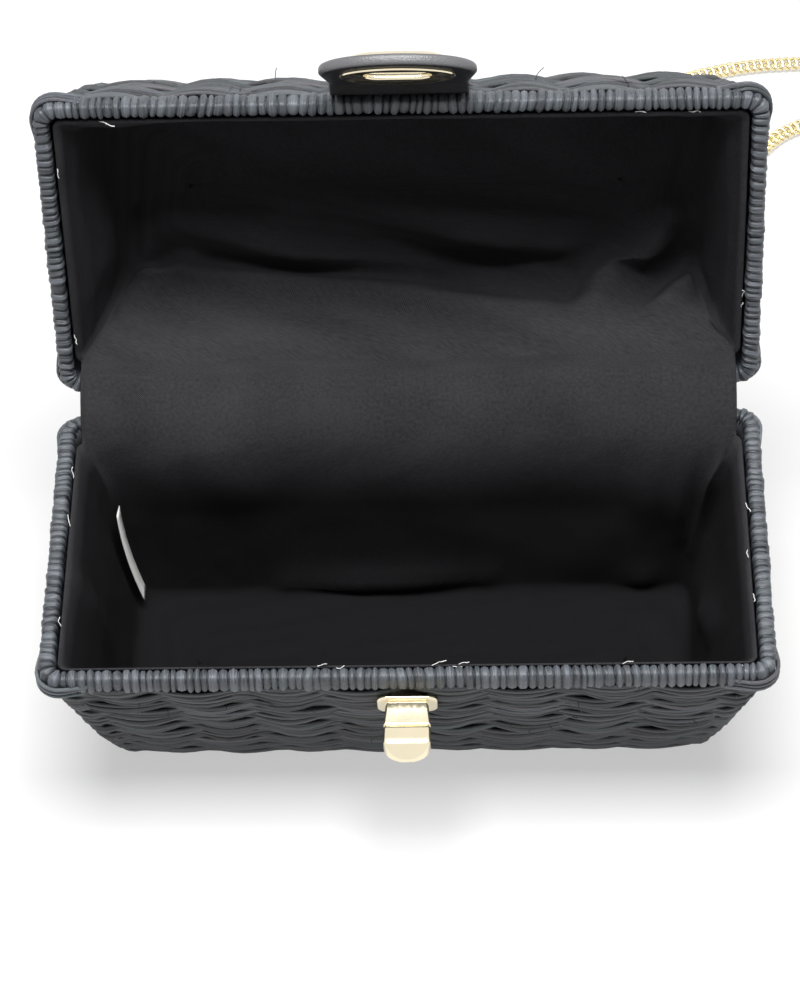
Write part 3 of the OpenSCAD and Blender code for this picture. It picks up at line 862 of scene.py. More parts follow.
for body, place, seed in (("base", in_base, 21), ("lid", in_lid, 22)):
    draw = random.Random(seed)
    skin, turns = whipped_skin(place, draw)
    bare_corners(skin, place, draw)
    finish_piece(skin.build(body + "_whipping", whipping), body, "straw", body + "_rim")
    print(body, "rim has", turns, "turns")

# %% [markdown]
# ## Lashings at the hinge
# The trays have no metal hinge. A few turns of the same strand pass round both rims near each back corner,
# and the lining does the rest.

# %% Lash the rims together
LASHINGS = 4
LASHING_R = 0.72
LASHING_PITCH = 1.55
rim_mid = half_d - rim_t / 2
base_roll = np.array([0, rim_mid, base_h - rim_h / 2])
lid_roll = in_lid(np.array([0, rim_mid, rim_h / 2]))
lashing_reach = math.hypot(rim_t, rim_h) / 2 + soft_gap / 2 + 0.7
lashing_x = wall_a - corner_r - 6
span = (lid_roll - base_roll)[1:]
span_way = math.atan2(span[1], span[0])
loop_yz = []
for centre, first in ((base_roll, span_way + math.pi / 2), (lid_roll, span_way - math.pi / 2)):
    for k in range(13):
        turn = first + math.pi * k / 12
        loop_yz.append(centre[1:] + lashing_reach * np.array([math.cos(turn), math.sin(turn)]))
lashings = Skin()
lash_draw = random.Random(31)
for side in (-1, 1):
    for strand in range(LASHINGS):
        x = side * lashing_x - 2.3 + LASHING_PITCH * strand
        loop = np.array([(x + 0.5 * math.sin(0.4 * k + strand), *point) for k, point in enumerate(loop_yz)])
        line = along_curve(np.vstack([loop, loop[:1]]), 1.5)[:-1]
        lashings.tube(sweep(line, round_section(LASHING_R, 8), (1, 0, 0)), lash_draw.random(), True, strand)
lashing = lashings.build("lashings", straw)
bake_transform(lashing)
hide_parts("hinge_lashings")
print("lashed at x =", lashing_x, "either side")

# %% [markdown]
# ## Cloth lining
# One plain black cotton lines both trays and runs over the hinge between them, pulled taut there and slack in
# the corners. It could be simulated, but the folds of the real one are known and few, so the cloth is a sheet
# laid inside the trays with each fold raised where it lies: a ridge along a line of points.

# %% Make the cotton's finish
THREAD = 0.62


def cotton(name, dark, light):
    finish = Finish(name)
    tone = finish.attribute("tone")
    grain = finish.attribute("grain", "Vector")
    slub = finish.noise(grain, 0.9, 4)
    threads = []
    for axis in "XY":
        place = finish.node("SeparateXYZ", {}, {"Vector": grain}, axis)
        wave = place * (2 * math.pi / THREAD) + 5 * slub
        threads.append(finish.node("Math", {"operation": "SINE"}, {0: wave}))
    weave_height = threads[0] * threads[1]
    fade = finish.noise(grain, 0.05, 3)
    # Painted light and shade: the tone kept at each point scales the cloth's colour, and it is set where the
    # cloth is laid, brightest over the hinge and low in the base.
    colour = finish.mix(tone * (0.3 * weave_height + 0.7 * slub + 0.5 * fade), dark, light)
    bump = finish.bump(0.4, 0.2, weave_height + slub)
    return finish.surface(Base_Color=colour, Roughness=0.9, Normal=bump, Specular_IOR_Level=0.1)


lining_cloth = cotton("lining", (0.004, 0.004, 0.0045), (0.058, 0.057, 0.063))
print("made", lining_cloth.name)

# %% Lay the cloth in one tray
LONG, CORNER, SHORT = 84, 10, 36
BACK_FROM = LONG + 2 * CORNER + SHORT
cloth_gap = 0.4
lining_in = rim_t - 2 + soft_gap + cloth_gap
lining_r = corner_r - lining_in / 2
lash_room = 4.6
hem_w = 2.0
hem_r = 2.6


def lining_rows(h, r, lean):
    """Distance from the meeting face and inset at each row, from the hem to the panel's middle line."""
    deep = h - wall_t - soft_gap - cloth_gap
    edge_r = r - wall_t - cloth_gap
    l0, l1 = lean_length(deep, edge_r, lean), section_length(deep, edge_r, lean)
    top = np.array([hem_w, 0.0])
    foot = np.array(section(l0, deep, edge_r, lean)[:2])
    rows = [top + (foot - top) * t for t in np.linspace(0, 1, 20)]
    rows += [np.array(section(v, deep, edge_r, lean)[:2]) for v in np.linspace(l0, l1, 8)[1:]]
    end = rows[-1]
    left = wall_b - lining_in - lash_room / 2 - end[1]
    rows += [end + [0, left * t] for t in np.linspace(0, 1, 12)[1:]]
    return np.array(rows)


def lay_cloth(shape):
    """A grid of points, row by row from the hem, with the distance across and down the cloth."""
    rows = lining_rows(*shape)
    rings, across = [], []
    for w, inset in rows:
        a = wall_a - lining_in - inset
        b = wall_b - lining_in - inset - lash_room / 2
        turn_r = np.interp(w, (hem_w, hem_w + 12), (hem_r, lining_r))
        plan, _ = outline(a, b, max(min(turn_r, b), 0), LONG, CORNER, SHORT)
        rings.append(at_height(plan - [0, lash_room / 2], w))
        across.append(run_along(plan))
    return np.array(rings), np.array(across), run_along(rows)


base_grid, base_across, base_down = lay_cloth(base_shape)
lid_grid, lid_across, lid_down = lay_cloth(lid_shape)
print("cloth rows", len(base_grid), len(lid_grid))

# %% Raise folds in it
HELD_ROWS = 5
FREE_COLUMNS = 8
HEM_ROLL = 0.7
TAUT = 3
SOFTNESS = 0.8


def inward_normals(grid):
    along = np.roll(grid, -1, axis=1) - np.roll(grid, 1, axis=1)
    below = np.gradient(grid, axis=0)
    normal = np.cross(along, below)
    normal[-1] = normal[-2].mean(axis=0)
    normal /= np.linalg.norm(normal, axis=2)[..., None] + 1e-9
    middle = np.array([0, -lash_room / 2, 0.0])
    facing = np.sum(normal[5] * (middle + [0, 0, grid[5, 0, 2]] - grid[5]), axis=1).sum()
    return normal if facing > 0 else -normal


def fold_lift(flat, crest, width, height):
    """How far one fold lifts each point: most along the middle of its crest, less at its ends."""
    crest = np.array(crest, float)
    nearest = np.full(len(flat), 1e9)
    place_on = np.zeros(len(flat))
    for number, (start, stop) in enumerate(zip(crest, crest[1:])):
        way = stop - start
        t = np.clip((flat - start) @ way / way.dot(way), 0, 1)
        off = np.linalg.norm(flat - start - t[:, None] * way, axis=1)
        place_on = np.where(off < nearest, (number + t) / (len(crest) - 1), place_on)
        nearest = np.minimum(off, nearest)
    ends = np.clip(np.minimum(place_on, 1 - place_on), 0.05, 0.5)
    return height * np.exp(-(nearest / width) ** 2) * (0.4 + 0.6 * np.sin(np.pi * ends))


def raise_folds(grid, folds, seed, slack):
    """Moves the cloth inwards along each fold, never back through the wall."""
    flat = grid.reshape(-1, 3)
    lift = np.full(len(flat), slack)
    for fold in folds:
        lift += fold_lift(flat, *fold)
    shift = Vector((seed, 2.0 * seed, 0))
    for wavelength, height in ((0.035, 2.0), (0.12, 0.5)):
        lift += [height * noise.noise(Vector(p) * wavelength + shift) for p in flat]
    lift = SOFTNESS * np.log1p(np.exp(lift / SOFTNESS)).reshape(grid.shape[:2])
    held = 1 - np.clip(np.arange(grid.shape[0]) / HELD_ROWS, 0, 1)[:, None]
    column = np.arange(grid.shape[1])
    free = np.clip(np.minimum(column - BACK_FROM, BACK_FROM + LONG - column) / FREE_COLUMNS, 0, 1)
    hem = HEM_ROLL * (1 - free) * np.exp(-((grid[..., 2] - hem_w - 1.6) / 1.1) ** 2)
    taut = TAUT * free * np.exp(-((grid[..., 2] - hem_w) / 7) ** 2)
    return grid + inward_normals(grid) * (lift * (1 - held * (1 - free)) + hem + taut)[..., None]


print("the cloth is free of the rim over", LONG, "columns at the back")

# %% List the folds: the points of each crest, its width and its height
base_folds = [
    ([(-60, 41, 10), (97, 41, 10)], 9, 3),
    ([(-72, 40, 2), (-60, 40, 6), (-53, 37, 15)], 10, 8),
    ([(-88, 40, 4), (-87, 35, 24)], 4, -4),
    ([(-78, 38, 14), (-75, 37, 17)], 4, 3),
    ([(-38, 28, 55), (-1, 28, 54), (22, 28, 52)], 4.5, 4),
    ([(90, 40, 4), (94, 37, 17), (90, 31, 42)], 4, 6),
    ([(80, 38, 14), (83, 32, 36)], 4, 4),
    ([(71, 28, 54), (94, -10, 31)], 6, 6),
    ([(-100, -8, 5), (-93, -13, 35)], 6, 3),
    ([(70, 38, 14), (74, 34, 30)], 4, 3),
]
lid_folds = [
    ([(-94, -4, 23), (-95, 26, 20)], 11, 4),
    ([(-84, 6, 37), (-87, 36, 18)], 3, -4),
    ([(-80, 15, 37), (-80, 31, 31), (-75, 32, 28), (-68, 26, 37)], 3.5, 6.5),
    ([(-91, 36, 18), (-78, 32, 28), (-65, 31, 32), (-43, 32, 29), (3, 34, 22), (33, 36, 16), (66, 36, 15),
      (96, 38, 12)], 5.5, 5),
    ([(-58, 28, 37), (3, 32, 30), (33, 33, 26)], 6, -4),
    ([(-70, 8, 37), (-35, 19, 37), (3, 31, 33)], 7, 8),
    ([(-34, 1, 37), (13, 12, 37), (44, 20, 37)], 8, 8.5),
    ([(-22, 7, 37), (44, 31, 32), (51, 35, 20)], 6, -6.5),
    ([(56, 35, 20), (69, 27, 37), (81, 10, 37)], 6, 11),
    ([(71, 36, 16), (84, 29, 37), (91, 18, 32)], 4, -4),
    ([(76, 36, 15), (92, 32, 30)], 4, 6),
]
base_cloth = in_base(raise_folds(base_grid, base_folds, 3, 1.2))
lid_cloth = in_lid(raise_folds(lid_grid, lid_folds, 8, 2.5))
print(len(base_folds), "folds in the base and", len(lid_folds), "in the lid")

# %% Hang the cloth over the hinge
BAND_LAP = 3
BAND_ROWS = 9
BAND_BOW = 2.2
SOFT_ROWS = 9
SOFT_COLUMNS = 14
SOFTENINGS = 60
back = np.arange(BACK_FROM - BAND_LAP, BACK_FROM + LONG + BAND_LAP + 1)
band_start, band_end = base_cloth[0, back], lid_cloth[0, back]
part = np.linspace(0, 1, BAND_ROWS)
band = band_start + (band_end - band_start) * part[:, None, None]
band_out = np.array([0, -span[1], span[0]]) / np.linalg.norm(span)
band = band + band_out * (BAND_BOW * np.sin(np.pi * part))[:, None, None]
hang = np.concatenate([base_cloth[SOFT_ROWS:0:-1, back], band, lid_cloth[1:SOFT_ROWS + 1, back]])


def from_edges(count, reach):
    """0 at both ends of a row, rising to 1 over a reach."""
    return np.clip(np.minimum(np.arange(count), np.arange(count)[::-1]) / reach, 0, 1)


loose = from_edges(len(hang), SOFT_ROWS)[:, None] * from_edges(len(back), SOFT_COLUMNS)
loose = loose[1:-1, :, None]
for _ in range(SOFTENINGS):
    hang[1:-1] += 0.24 * loose * (hang[:-2] - 2 * hang[1:-1] + hang[2:])
base_cloth[SOFT_ROWS:0:-1, back] = hang[:SOFT_ROWS]
base_cloth[0, back] = hang[SOFT_ROWS]
lid_cloth[0, back] = hang[-SOFT_ROWS - 1]
lid_cloth[1:SOFT_ROWS + 1, back] = hang[-SOFT_ROWS:]
band = hang[SOFT_ROWS:-SOFT_ROWS]
print("the band over the hinge is", len(back), "columns wide")

# %% Skin the cloth
# The lining is one black, so the tones below are painted light and shade: brightest over the hinge, light along
# the hems and low in the base.
BRIGHTEST_PAINTED_LIGHT = 0.95
HEM_PAINTED_LIGHT = (1.0, 0.9, 0.6)


def grid_quads(rows, columns, closed):
    i = np.arange(rows - 1)[:, None]
    j = np.arange(columns if closed else columns - 1)[None, :]
    after = (j + 1) % columns
    corners = [i * columns + j, i * columns + after, (i + 1) * columns + after, (i + 1) * columns + j]
    return np.stack(corners, axis=-1).reshape(-1, 4)


def add_cloth(skin, grid, across, down, tones, closed, flip):
    """One stretch of cloth, with its threads' directions kept at each point."""
    rows, columns = grid.shape[:2]
    across, down = np.broadcast_arrays(across, down[:, None])
    grain = np.stack([across, down, np.zeros((rows, columns))], axis=-1)
    quads = grid_quads(rows, columns, closed)[:, ::flip]
    skin.add(grid.reshape(-1, 3), [*quads], tones.ravel(), grain.reshape(-1, 3))


cloth = Skin()
for grid, across, down, flip, bright, lit_rows in ((base_cloth, base_across, base_down, 1, 0.13, 8),
                                                   (lid_cloth, lid_across, lid_down, -1, 0.58, 24)):
    rows, stations = grid.shape[:2]
    # Painted light and shade: one low tone for the base's cloth and a middling one for the lid's, rising to the
    # brightest in the back columns near the hinge, where light falls. The hem rows are painted lighter too.
    tones = np.full((rows, stations), bright)
    tones[:len(HEM_PAINTED_LIGHT)] = np.array(HEM_PAINTED_LIGHT)[:, None]
    lit = np.clip((lit_rows - np.arange(rows)) / min(lit_rows, 13), 0, 1)[:, None]
    tones[:, back] = bright + (BRIGHTEST_PAINTED_LIGHT - bright) * lit
    add_cloth(cloth, grid, across, down * flip, tones, True, flip)
band_down = -part * np.linalg.norm(band_end[0] - band_start[0])
# Painted light: the band over the hinge takes the full tone.
add_cloth(cloth, band, base_across[0, back], band_down, np.ones(band.shape[:2]), False, -1)
lining = cloth.build("lining", lining_cloth)

# %% Thicken the lining
CLOTH_T = 0.6
WELD = 0.02
weld = lining.modifiers.new("weld", "WELD")
weld.merge_threshold = WELD * MM
thick = lining.modifiers.new("thick", "SOLIDIFY")
thick.thickness = CLOTH_T * MM
thick.offset = 0


def settle(piece):
    """Turns a piece's modifiers into its mesh."""
    bpy.context.view_layer.update()
    seen = piece.evaluated_get(bpy.context.evaluated_depsgraph_get())
    made = bpy.data.meshes.new_from_object(seen)
    piece.modifiers.clear()
    piece.data = made


settle(lining)
middle = len(back) // 2
tuple(band_start[middle] * MM)
tuple(band_end[middle] * MM)
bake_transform(lining)
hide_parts("base_lining", "hinge_cloth", "lid_lining")

# %% [markdown]
# ## Blank tape tab
# A short white tape is sewn into the seam at the back left of the base. It is left blank. It curls a little
# off the cloth, so it is a thin strip swept along a bowed line.

# %% Make the tape and sew it in
TAPE_HALF_W = 3
TAPE_HALF_T = 0.18


def tape_finish():
    finish = Finish("white_tape")
    place = finish.place()
    ribs = finish.node("TexWave", {"bands_direction": "Z"},
                       {"Vector": place, "Scale": 620, "Distortion": 0.6})
    soil = finish.noise(place, 300, 3)
    colour = finish.mix(0.5 * ribs + 0.4 * soil, (0.8, 0.8, 0.78), (0.93, 0.93, 0.91))
    bump = finish.bump(0.3, 0.2, ribs)
    return finish.surface(Base_Color=colour, Roughness=0.8, Normal=bump)


def tape_point(t):
    """The tape's middle line, from the seam at 0 to its free end at 1."""
    wide, deep, tall = tape_high - tape_low
    return (tape_low[0] + 3.8 + (wide - 2.6) * t**1.4,
            tape_high[1] - 3 - (deep - 6) * t - 1.2 * math.sin(math.pi * t),
            tape_high[2] - tall * t)


tape_low, tape_high = box_mm("sewn_tab")
tape_line = np.array([tape_point(t) for t in np.linspace(0, 1, 20)])
half_section = [(-TAPE_HALF_W, -TAPE_HALF_T), (TAPE_HALF_W, -TAPE_HALF_T), (TAPE_HALF_W + 0.06, 0)]
tape_rings = sweep(tape_line, half_section + [(-x, -y) for x, y in half_section], (0, 1, 0))
tape_white = tape_finish()
finish_piece(one_tube("blank_tape", tape_white, tape_rings), "base", "white_tape", "sewn_tab")

# %% [markdown]
# ## Loose threads
# Where the lining is turned under at the rims, a few pale threads have worked loose and lie over the edge.
# They are too fine to shape one by one, so each is a thin tube along a short random line from the hem.

# %% Let a few threads hang out of the hems
THREAD_R = 0.14
SHORT_SIDE_X = 95


def loose_threads(name, body, place, spots, seed):
    draw = random.Random(seed)
    skin = Skin()
    for number, (x, y) in enumerate(spots):
        at_end = abs(x) > SHORT_SIDE_X
        inward = np.array([-np.sign(x) if at_end else 0.0, 0.0 if at_end else -np.sign(y), 0.0])
        beside = np.array([inward[1], inward[0], 0.0])
        path = [np.array([x, y, 2.2]) + 0.8 * inward]
        for _ in range(4):
            step = beside * draw.uniform(0.2, 1.6) - inward * draw.uniform(-0.5, 0.6)
            path.append(path[-1] + step - [0, 0, draw.uniform(-0.2, 0.9)])
        path = np.array(path)
        path[:, 2] = np.maximum(path[:, 2], -0.1)
        thread = sweep(along_curve(path, 0.5), round_section(THREAD_R, 5), (0, 0, 1))
        skin.tube(place(thread), 0.5, False, number)
    return finish_piece(skin.build(name, tape_white), body, "white_tape")


hem_x, hem_y = half_w - rim_t, half_d - rim_t
base_spots = [(x, -hem_y) for x in (-27, -22, 7, 12, 15, 62, 97)]
base_spots += [(hem_x, y) for y in (-20, -3, 14)] + [(-hem_x, y) for y in (26, 8, -30)]
lid_spots = [(x, -hem_y) for x in (-88, -86, 66, 83)]
lid_spots += [(-hem_x, -30), (hem_x, 20), (hem_x, 24), (-hem_x, 30)]
loose_threads("base_threads", "base", in_base, base_spots, 41)
loose_threads("lid_threads", "lid", in_lid, lid_spots, 42)

# %% [markdown]
# ## Leather
# The tab and the two chain loops are black leather, lightly grained. The pad's edges are a lighter grey: a
# painted highlight where light catches them, and partly edge wear. The grain is cells of uneven size, so it
# comes from Voronoi distances with a finer noise over them, and the tone kept at each point says where the grey
# goes.

# %% Make the leather's finish
# Painted highlight, partly edge wear: the lighter grey that the pad's edges take.
PAINTED_HIGHLIGHT_GREY = (0.15, 0.15, 0.16, 1)


def grained_leather(name):
    finish = Finish(name)
    place = finish.place()
    bend_of = finish.node("TexNoise", {}, {"Vector": place, "Scale": 160, "Detail": 2}, "Color")
    warped = finish.node("Mix", {"data_type": "VECTOR"}, {0: 0.004, 4: place, 5: bend_of}, 1)
    cells = finish.node("TexVoronoi", {"feature": "DISTANCE_TO_EDGE"}, {"Vector": warped, "Scale": 900},
                        "Distance")
    pores = finish.noise(place, 2200, 3)
    wear_and_highlight_patches = finish.noise(place, 70, 4)
    crease = finish.node("MapRange", {}, {"Value": cells, "From Min": 0.0, "From Max": 0.25})
    hide = finish.mix(0.5 * crease + 0.5 * wear_and_highlight_patches, (0.008, 0.008, 0.009), (0.028, 0.028, 0.031))
    # How much of the painted highlight grey shows: the tone kept at each point, varied by the patches.
    edge = finish.attribute("tone") * (0.6 + 0.5 * wear_and_highlight_patches)
    colour = finish.node("Mix", {"data_type": "RGBA"}, {0: edge, 6: hide, 7: PAINTED_HIGHLIGHT_GREY}, 2)
    bump = finish.bump(0.3, 0.15, crease + 0.3 * pores)
    return finish.surface(Base_Color=colour, Roughness=0.36 - 0.1 * crease + 0.1 * wear_and_highlight_patches, Normal=bump,
                          Specular_IOR_Level=0.6)


leather = grained_leather("black_leather")
print("made", leather.name)

# %% [markdown]
# ## Tab and eyelet
# The tab is sewn to the front of the lid, bends at the rim and is padded where the eyelet goes through. It is
# built flat, in its own coordinates: x across it, y through it and z along it, then turned with the lid.
# The padded part is a loop of section carried round the slot, so the hole is there from the start.

# %% Place points of the tab
lock_drop = 13.7
tab_off = soft_gap + 0.8
bend_yz = np.array([-(half_d + tab_off), lid_z + rim_h / 2])
tab_flare = math.radians(44)
tab_t, neck_t = 3.6, 1.6
tab_face = neck_t / 2 - 1.5
tab_w, tab_root_w, tab_l, tab_widest = 45, 40, 30, 16.5
neck_l = 5
slot_w, slot_h = 19.6, 8.4
slot_z = base_h - lock_drop - bend_yz[1]


def in_tab(points):
    c, s = math.cos(-tab_flare), math.sin(-tab_flare)
    y, z = points[..., 1], points[..., 2]
    shut = np.stack([points[..., 0], bend_yz[0] + c * y - s * z, bend_yz[1] + s * y + c * z], axis=-1)
    return open_lid(shut)


print("slot centre at", in_tab(np.array([0, tab_face - tab_t / 2, slot_z])).round(1))

# %% Find the slot's outline and the tab's, ray by ray
AROUND = 120
angle = np.linspace(-math.pi, math.pi, AROUND, endpoint=False)
rays = np.stack([np.cos(angle), np.sin(angle)], axis=1)


def slot_curve(w, h):
    """A slot with round ends: the point where each ray leaves it."""
    reaches = []
    half, r = (w - h) / 2, h / 2
    for c, s in rays:
        reach = r / abs(s) if abs(s) > 1e-6 else 1e9
        if abs(c) * reach > half:
            reach = half * abs(c) + math.sqrt(max(0, r * r - (half * s) ** 2))
        reaches.append(reach)
    return rays * np.array(reaches)[:, None]


def ray_curve(shape):
    """Where each ray leaves an outline that is given as points."""
    turn = np.arctan2(shape[:, 1], shape[:, 0])
    order = np.argsort(turn)
    reach = np.interp(angle, turn[order], np.linalg.norm(shape[order], axis=1), period=2 * np.pi)
    return rays * reach[:, None]


def tab_curve():
    end = tab_l - tab_widest
    shape = [(tab_root_w / 2, -neck_l)]
    for t in np.linspace(0, math.pi, 61):
        shape.append((tab_w / 2 * math.cos(t), -tab_widest - end * math.sin(t)))
    shape.append((-tab_root_w / 2, -neck_l))
    shape = np.array(shape) - [0, slot_z]
    sides = zip(shape, np.roll(shape, -1, axis=0))
    return ray_curve(np.vstack([np.linspace(p, q, 12, endpoint=False) for p, q in sides]))


def carried_round(inner, outer, face, profile):
    """Rings of a profile, given as (share of the way out, height), carried round the slot."""
    loops = []
    for share, height in profile:
        plan = inner + (outer - inner) * share
        loops.append(np.column_stack([plan[:, 0], np.full(AROUND, face + height), plan[:, 1] + slot_z]))
    return in_tab(np.array(loops).transpose(1, 0, 2))


print("the tab reaches", round(np.linalg.norm(tab_curve(), axis=1).max(), 1), "mm from the slot's centre")

# %% Shape the padded tab and the strap it hangs from
pad_edge = [(0.0, 0.15), (0.25, 0.0), (0.6, 0.0), (0.8, 0.05), (0.9, 0.16), (0.955, 0.42), (0.985, 0.8),
            (1.0, 1.3)]
pad_profile = [(share, -depth) for share, depth in pad_edge] + [(1.0, -tab_t / 2)]
pad_profile += [(share, depth - tab_t) for share, depth in reversed(pad_edge)]
# Painted highlight: the rings at the pad's outer edge take the lighter grey.
painted_edge_highlight = np.array([np.clip((share - 0.9) / 0.08, 0, 1) for share, _ in pad_profile])
pad = Skin()
pad_rings = carried_round(slot_curve(slot_w + 1.8, slot_h + 1.8), tab_curve(), tab_face, pad_profile)
pad.tube(pad_rings, np.broadcast_to(painted_edge_highlight, (AROUND, len(pad_profile))), True)
root_l = 14
strip = [(0, -half_d - tab_off + root_l * math.tan(lid_lean) * t, lid_z + rim_h + root_l * t)
         for t in (1, 0.7, 0.4, 0.1)]
strip += [(0, bend_yz[0], bend_yz[1] + 1.6), (0, *bend_yz)]
neck = in_tab(np.array([(0, -0.35, -1.2), (0, tab_face - tab_t / 2, -neck_l - 1.5)]))
strap_line = along_curve(np.vstack([open_lid(np.array(strip)), neck]), 0.6)


def strap_section(width, thickness, edge_steps=5):
    """A strap's section with rounded edges."""
    half = width / 2 - thickness / 2
    turn = np.linspace(-math.pi / 2, math.pi / 2, edge_steps)
    right_edge = [(half + thickness / 2 * math.cos(t), thickness / 2 * math.sin(t)) for t in turn]
    top = [(x, thickness / 2) for x in np.linspace(half, -half, 9)[1:-1]]
    return right_edge + top + [(-x, -y) for x, y in right_edge + top]


pad.tube(sweep(strap_line, strap_section(tab_root_w, neck_t), (1, 0, 0)), 0.0)
tab = pad.build("tab", leather)
bend_half = 2.5
root_way = open_lid(np.array([0, bend_yz[0], bend_yz[1] + bend_half]))
tab_way = in_tab(np.array([0, 0, -bend_half]))
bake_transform(tab)
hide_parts("tab_root", "leather_tab")

# %% Stamp the eyelet's two halves
eyelet_w, eyelet_h = 33, 18
front_dome = [(1.0, 0.0), (0.99, 0.25), (0.92, 0.55), (0.76, 1.0), (0.6, 1.45), (0.44, 1.85), (0.28, 2.05),
              (0.12, 1.9), (0.02, 1.4), (0.0, 0.9)]
back_dish = [(1.0, 0.0), (0.99, 0.3), (0.95, 0.62), (0.9, 0.7), (0.84, 0.62), (0.72, 0.28), (0.6, 0.06),
             (0.45, 0.02), (0.3, 0.1), (0.12, 0.3), (0.04, 0.28), (0.0, 0.15)]


def eyelet(name, face, out, dome, tube_depth, node):
    """An oval plate over the leather, its inner edge rolled into the slot."""
    oval = ray_curve(rays * [eyelet_w / 2, eyelet_h / 2])
    bands = dome + [(0.0, -tube_depth), (0.09, -tube_depth), (0.11, -0.1), (0.5, -0.05)]
    profile = [(share, out * rise) for share, rise in bands]
    rings = carried_round(slot_curve(slot_w, slot_h), oval, face, profile)
    return finish_piece(one_tube(name, gold, rings, 0.5, True), "tab", "gold_metal", node)


eyelet("eyelet_face", tab_face - tab_t, -1, front_dome, 2.2, "eyelet_front")
eyelet("eyelet_inside", tab_face, 1, back_dish, 1.2, "eyelet_back")

# %% [markdown]
# ## Turn lock
# A cast boss stands level out of a small plate on the front wall, and a flat knob turns on its end. Both are
# blocks with softened edges. Lofting a rounded rectangle whose corners, size and height change along the axis
# gives the knob's round end and sloping nose, and the boss's wider foot, in one go. The nose slopes so
# that the eyelet clears it as the lid shuts.

# %% Loft the knob along the lock's axis
lock_z = base_h - lock_drop
lock_w, lock_t = 13.6, 5.6
boss_end = half_d + 8.4


def rounded_rectangle(w, h, r, steps=6):
    points = []
    for cx, cz, first in ((1, 1, 0), (-1, 1, 90), (-1, -1, 180), (1, -1, 270)):
        for t in np.radians(first + np.linspace(0, 90, steps)):
            points.append((cx * (w / 2 - r) + r * math.cos(t), cz * (h / 2 - r) + r * math.sin(t)))
    return np.array(points)


def along_lock(stations):
    """Rings at (y, width, height, corner radius, rise of the middle) along the lock's axis."""
    rings = []
    for y, w, h, r, rise in stations:
        shape = rounded_rectangle(w, h, min(r, w / 2 - 0.01, h / 2 - 0.01))
        rings.append(np.column_stack([shape[:, 0], np.full(len(shape), -y), lock_z + rise + shape[:, 1]]))
    return np.array(rings)


knob_start = boss_end + 0.2
knob_l = 9.6
nose = 9.0
nose_slope = 0.95
knob_r = 0.9
knob = [(knob_start, lock_w - 1.0, lock_t - 1.0, 0.5, 0),
        (knob_start + 0.12, lock_w - 0.4, lock_t - 0.4, 0.7, 0),
        (knob_start + 0.45, lock_w, lock_t, knob_r, 0)]
for t in np.linspace(0, 1, 24):
    past = max(0, (t - 0.38) / 0.62)
    half = lock_w / 2 * math.sqrt(1 - 0.93 * past**2.3)
    y = knob_r + (knob_l - knob_r) * t
    top = -np.logaddexp(-lock_t, -2 * nose_slope * (nose - y)) / 2
    bottom = -lock_t / 2 + 0.7 * past**3
    knob.append((knob_start + y, 2 * half, top - bottom, knob_r, (top + bottom) / 2))
finish_piece(one_tube("knob", gold, along_lock(knob)), "knob", "gold_metal", "lock_knob")

# %% Loft the boss and stamp its plate
plate_w, plate_h, plate_r = 17.6, 11, 3


def off_wall(half, drop):
    """How far from the middle the wall's woven face is, at a drop below the rims' meeting face."""
    return half + weave_t + soft_gap - (drop - rim_h) * math.tan(base_lean)


def off_lean(foot, middle_z, out, rise):
    """How far from the bag's middle, and how high, a point off the leaning wall is."""
    c, s = math.cos(base_lean), math.sin(base_lean)
    return foot + out * c + rise * s, middle_z + rise * c - out * s


wall_y = off_wall(wall_b, lock_drop)
boss = [(wall_y - 1, lock_w - 2, lock_t + 2.6, 0.7, 0), (wall_y + 2.8, lock_w - 1.3, lock_t + 1.7, 0.7, 0),
        (boss_end - 0.8, lock_w - 0.1, lock_t, 0.7, 0), (boss_end - 0.5, lock_w, lock_t, 0.7, 0),
        (boss_end - 0.12, lock_w - 0.4, lock_t - 0.4, 0.7, 0),
        (boss_end, lock_w - 1.0, lock_t - 1.0, 0.6, 0)]
skin = Skin()
skin.tube(along_lock(boss))
plate_rings = []
for out, cut in ((0.0, 0.0), (0.6, 0.0), (0.88, 0.16), (1.0, 0.5), (1.0, 1.2)):
    shape = rounded_rectangle(plate_w - 2 * cut, plate_h - 2 * cut, plate_r - cut)
    away, z = off_lean(wall_y, lock_z, out, shape[:, 1])
    plate_rings.append(np.column_stack([shape[:, 0], -away, z]))
skin.tube(np.array(plate_rings))
finish_piece(skin.build("lock", gold), "base", "gold_metal", "lock_plate")

# %% [markdown]
# ## Chain loops, rings and rivets
# At each end of the base a strip of leather is folded round the bar of a half ring and riveted to the wall.
# The strip is swept along its fold. The rings and rivets are plain wire and discs, which the solids already
# are, so those only get their finish.

# %% Fold the loops
fold_r, loop_t, loop_w = 2.5, 1.2, 11
loop_drop, loop_y = 27, 8
# The loops take a little of the painted highlight grey all over.
loop_tone = 0.1
bow = fold_r - loop_t / 2
fold = [(13, 0.6), (9, 0.6), (4, 0.6), (0, fold_r - bow)]
fold += [(-bow * math.sin(t), fold_r - bow * math.cos(t)) for t in np.linspace(0.3, math.pi - 0.3, 9)]
fold += [(1.5, fold_r + bow - 0.45), (4, 3.0), (6.5, 1.9), (9, 1.8), (13, 1.8)]
foot = off_wall(wall_a, loop_drop)
for side, name in ((-1, "left"), (1, "right")):
    places = [off_lean(foot, base_h - loop_drop, out, rise) for rise, out in fold]
    line = along_curve([(side * away, loop_y, z) for away, z in places], 0.7)
    rings = sweep(line, strap_section(loop_w, loop_t), (0, 1, 0))
    strap = one_tube("strap_" + name, leather, rings, loop_tone)
    finish_piece(strap, "base", "black_leather", "loop_" + name)

for name in ("ring_left", "ring_right", "loop_rivets", "end_ring_left", "end_ring_right", "lock_backing"):
    nodes[name].data.materials.clear()
    nodes[name].data.materials.append(gold)
print("gilded the rings, rivets and backing")

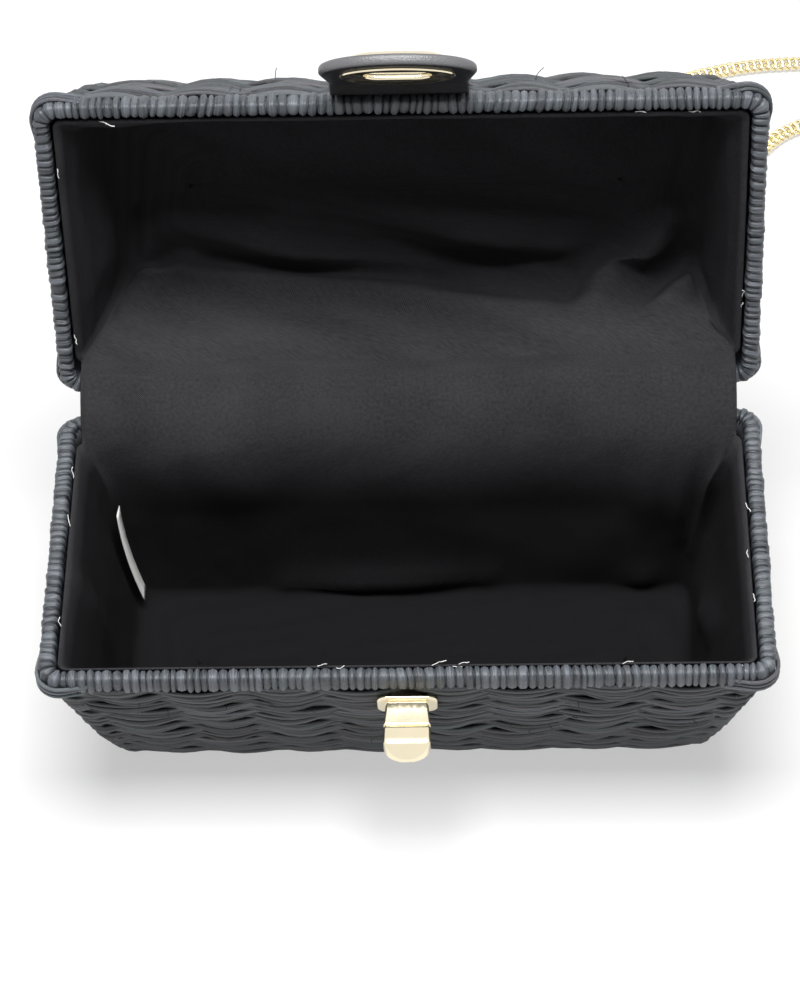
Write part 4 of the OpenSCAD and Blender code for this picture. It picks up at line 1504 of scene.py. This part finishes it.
# %% [markdown]
# ## Floor and light
# The photograph is a studio shot on white. The floor is a white sheet that the camera and mirrors see partly
# as plain white, and wholly so away from the bag. It stays pale without more light on the bag, and it keeps
# the bag's shadow. A wide lamp hangs above and a weaker one behind. The room is white to the camera and to
# mirrors, and dim as a light.


# %% Lay the floor
def seen(network):
    """1 for rays that come straight from the camera, by a mirror or through glass, and 0 for the rest."""
    camera_ray = network.node("LightPath", {}, {}, "Is Camera Ray")
    glossy_ray = network.node("LightPath", {}, {}, "Is Glossy Ray")
    return camera_ray + glossy_ray + network.node("LightPath", {}, {}, "Is Transmission Ray")


def white_floor():
    finish = Finish("floor")
    finish.surface(Base_Color=(0.9, 0.9, 0.9, 1), Roughness=0.9, Specular_IOR_Level=0.1)
    glow = finish.node("Emission", {}, {"Color": (1, 1, 1, 1), "Strength": 1.0}, "Emission")
    away = finish.node("VectorMath", {"operation": "LENGTH"}, {0: finish.place()}, "Value")
    white = finish.node("MapRange", {}, {"Value": away, "From Min": 0.35, "From Max": 1.1, "To Min": 0.5,
                                         "To Max": 1.0})
    paper = Socket(finish, finish.shader.outputs[0])
    blended = finish.node("MixShader", {}, {0: white * seen(finish), 1: paper, 2: glow})
    finish.put(finish.tree.nodes["Material Output"].inputs["Surface"], blended)
    return finish.material


FLOOR = 4
corners = [(-FLOOR, -FLOOR, 0), (FLOOR, -FLOOR, 0), (FLOOR, FLOOR, 0), (-FLOOR, FLOOR, 0)]
sheet_mesh = bpy.data.meshes.new("floor")
sheet_mesh.from_pydata(corners, [], [(0, 1, 2, 3)])
sheet_mesh.materials.append(white_floor())
floor = place_in_scene("floor", sheet_mesh)
print("floor", 2 * FLOOR, "m wide")


# %% Hang the lights
def soft_lamp(name, place, wide, deep, power):
    """A rectangle of light that faces straight down."""
    lamp = bpy.data.lights.new(name, "AREA")
    lamp.shape = "RECTANGLE"
    lamp.size = wide
    lamp.size_y = deep
    lamp.energy = power
    place_in_scene(name, lamp).location = place


LAMP_Z = 1.3
soft_lamp("overhead", (-0.02, -0.02, LAMP_Z), 0.9, 0.55, 22)
soft_lamp("behind", (0.1, 0.28, LAMP_Z), 0.9, 0.4, 3.5)
ROOM_LIGHT = 0.15
world = bpy.data.worlds.new("room")
bpy.context.scene.world = world
room = Network(world)
background = room.tree.nodes["Background"]
room.put(background.inputs["Color"], (1, 1, 1, 1))
strength = room.node("MapRange", {}, {"Value": seen(room), "To Min": ROOM_LIGHT, "To Max": 1.0})
room.put(background.inputs["Strength"], strength)
print("lights", [lamp.name for lamp in bpy.data.lights])
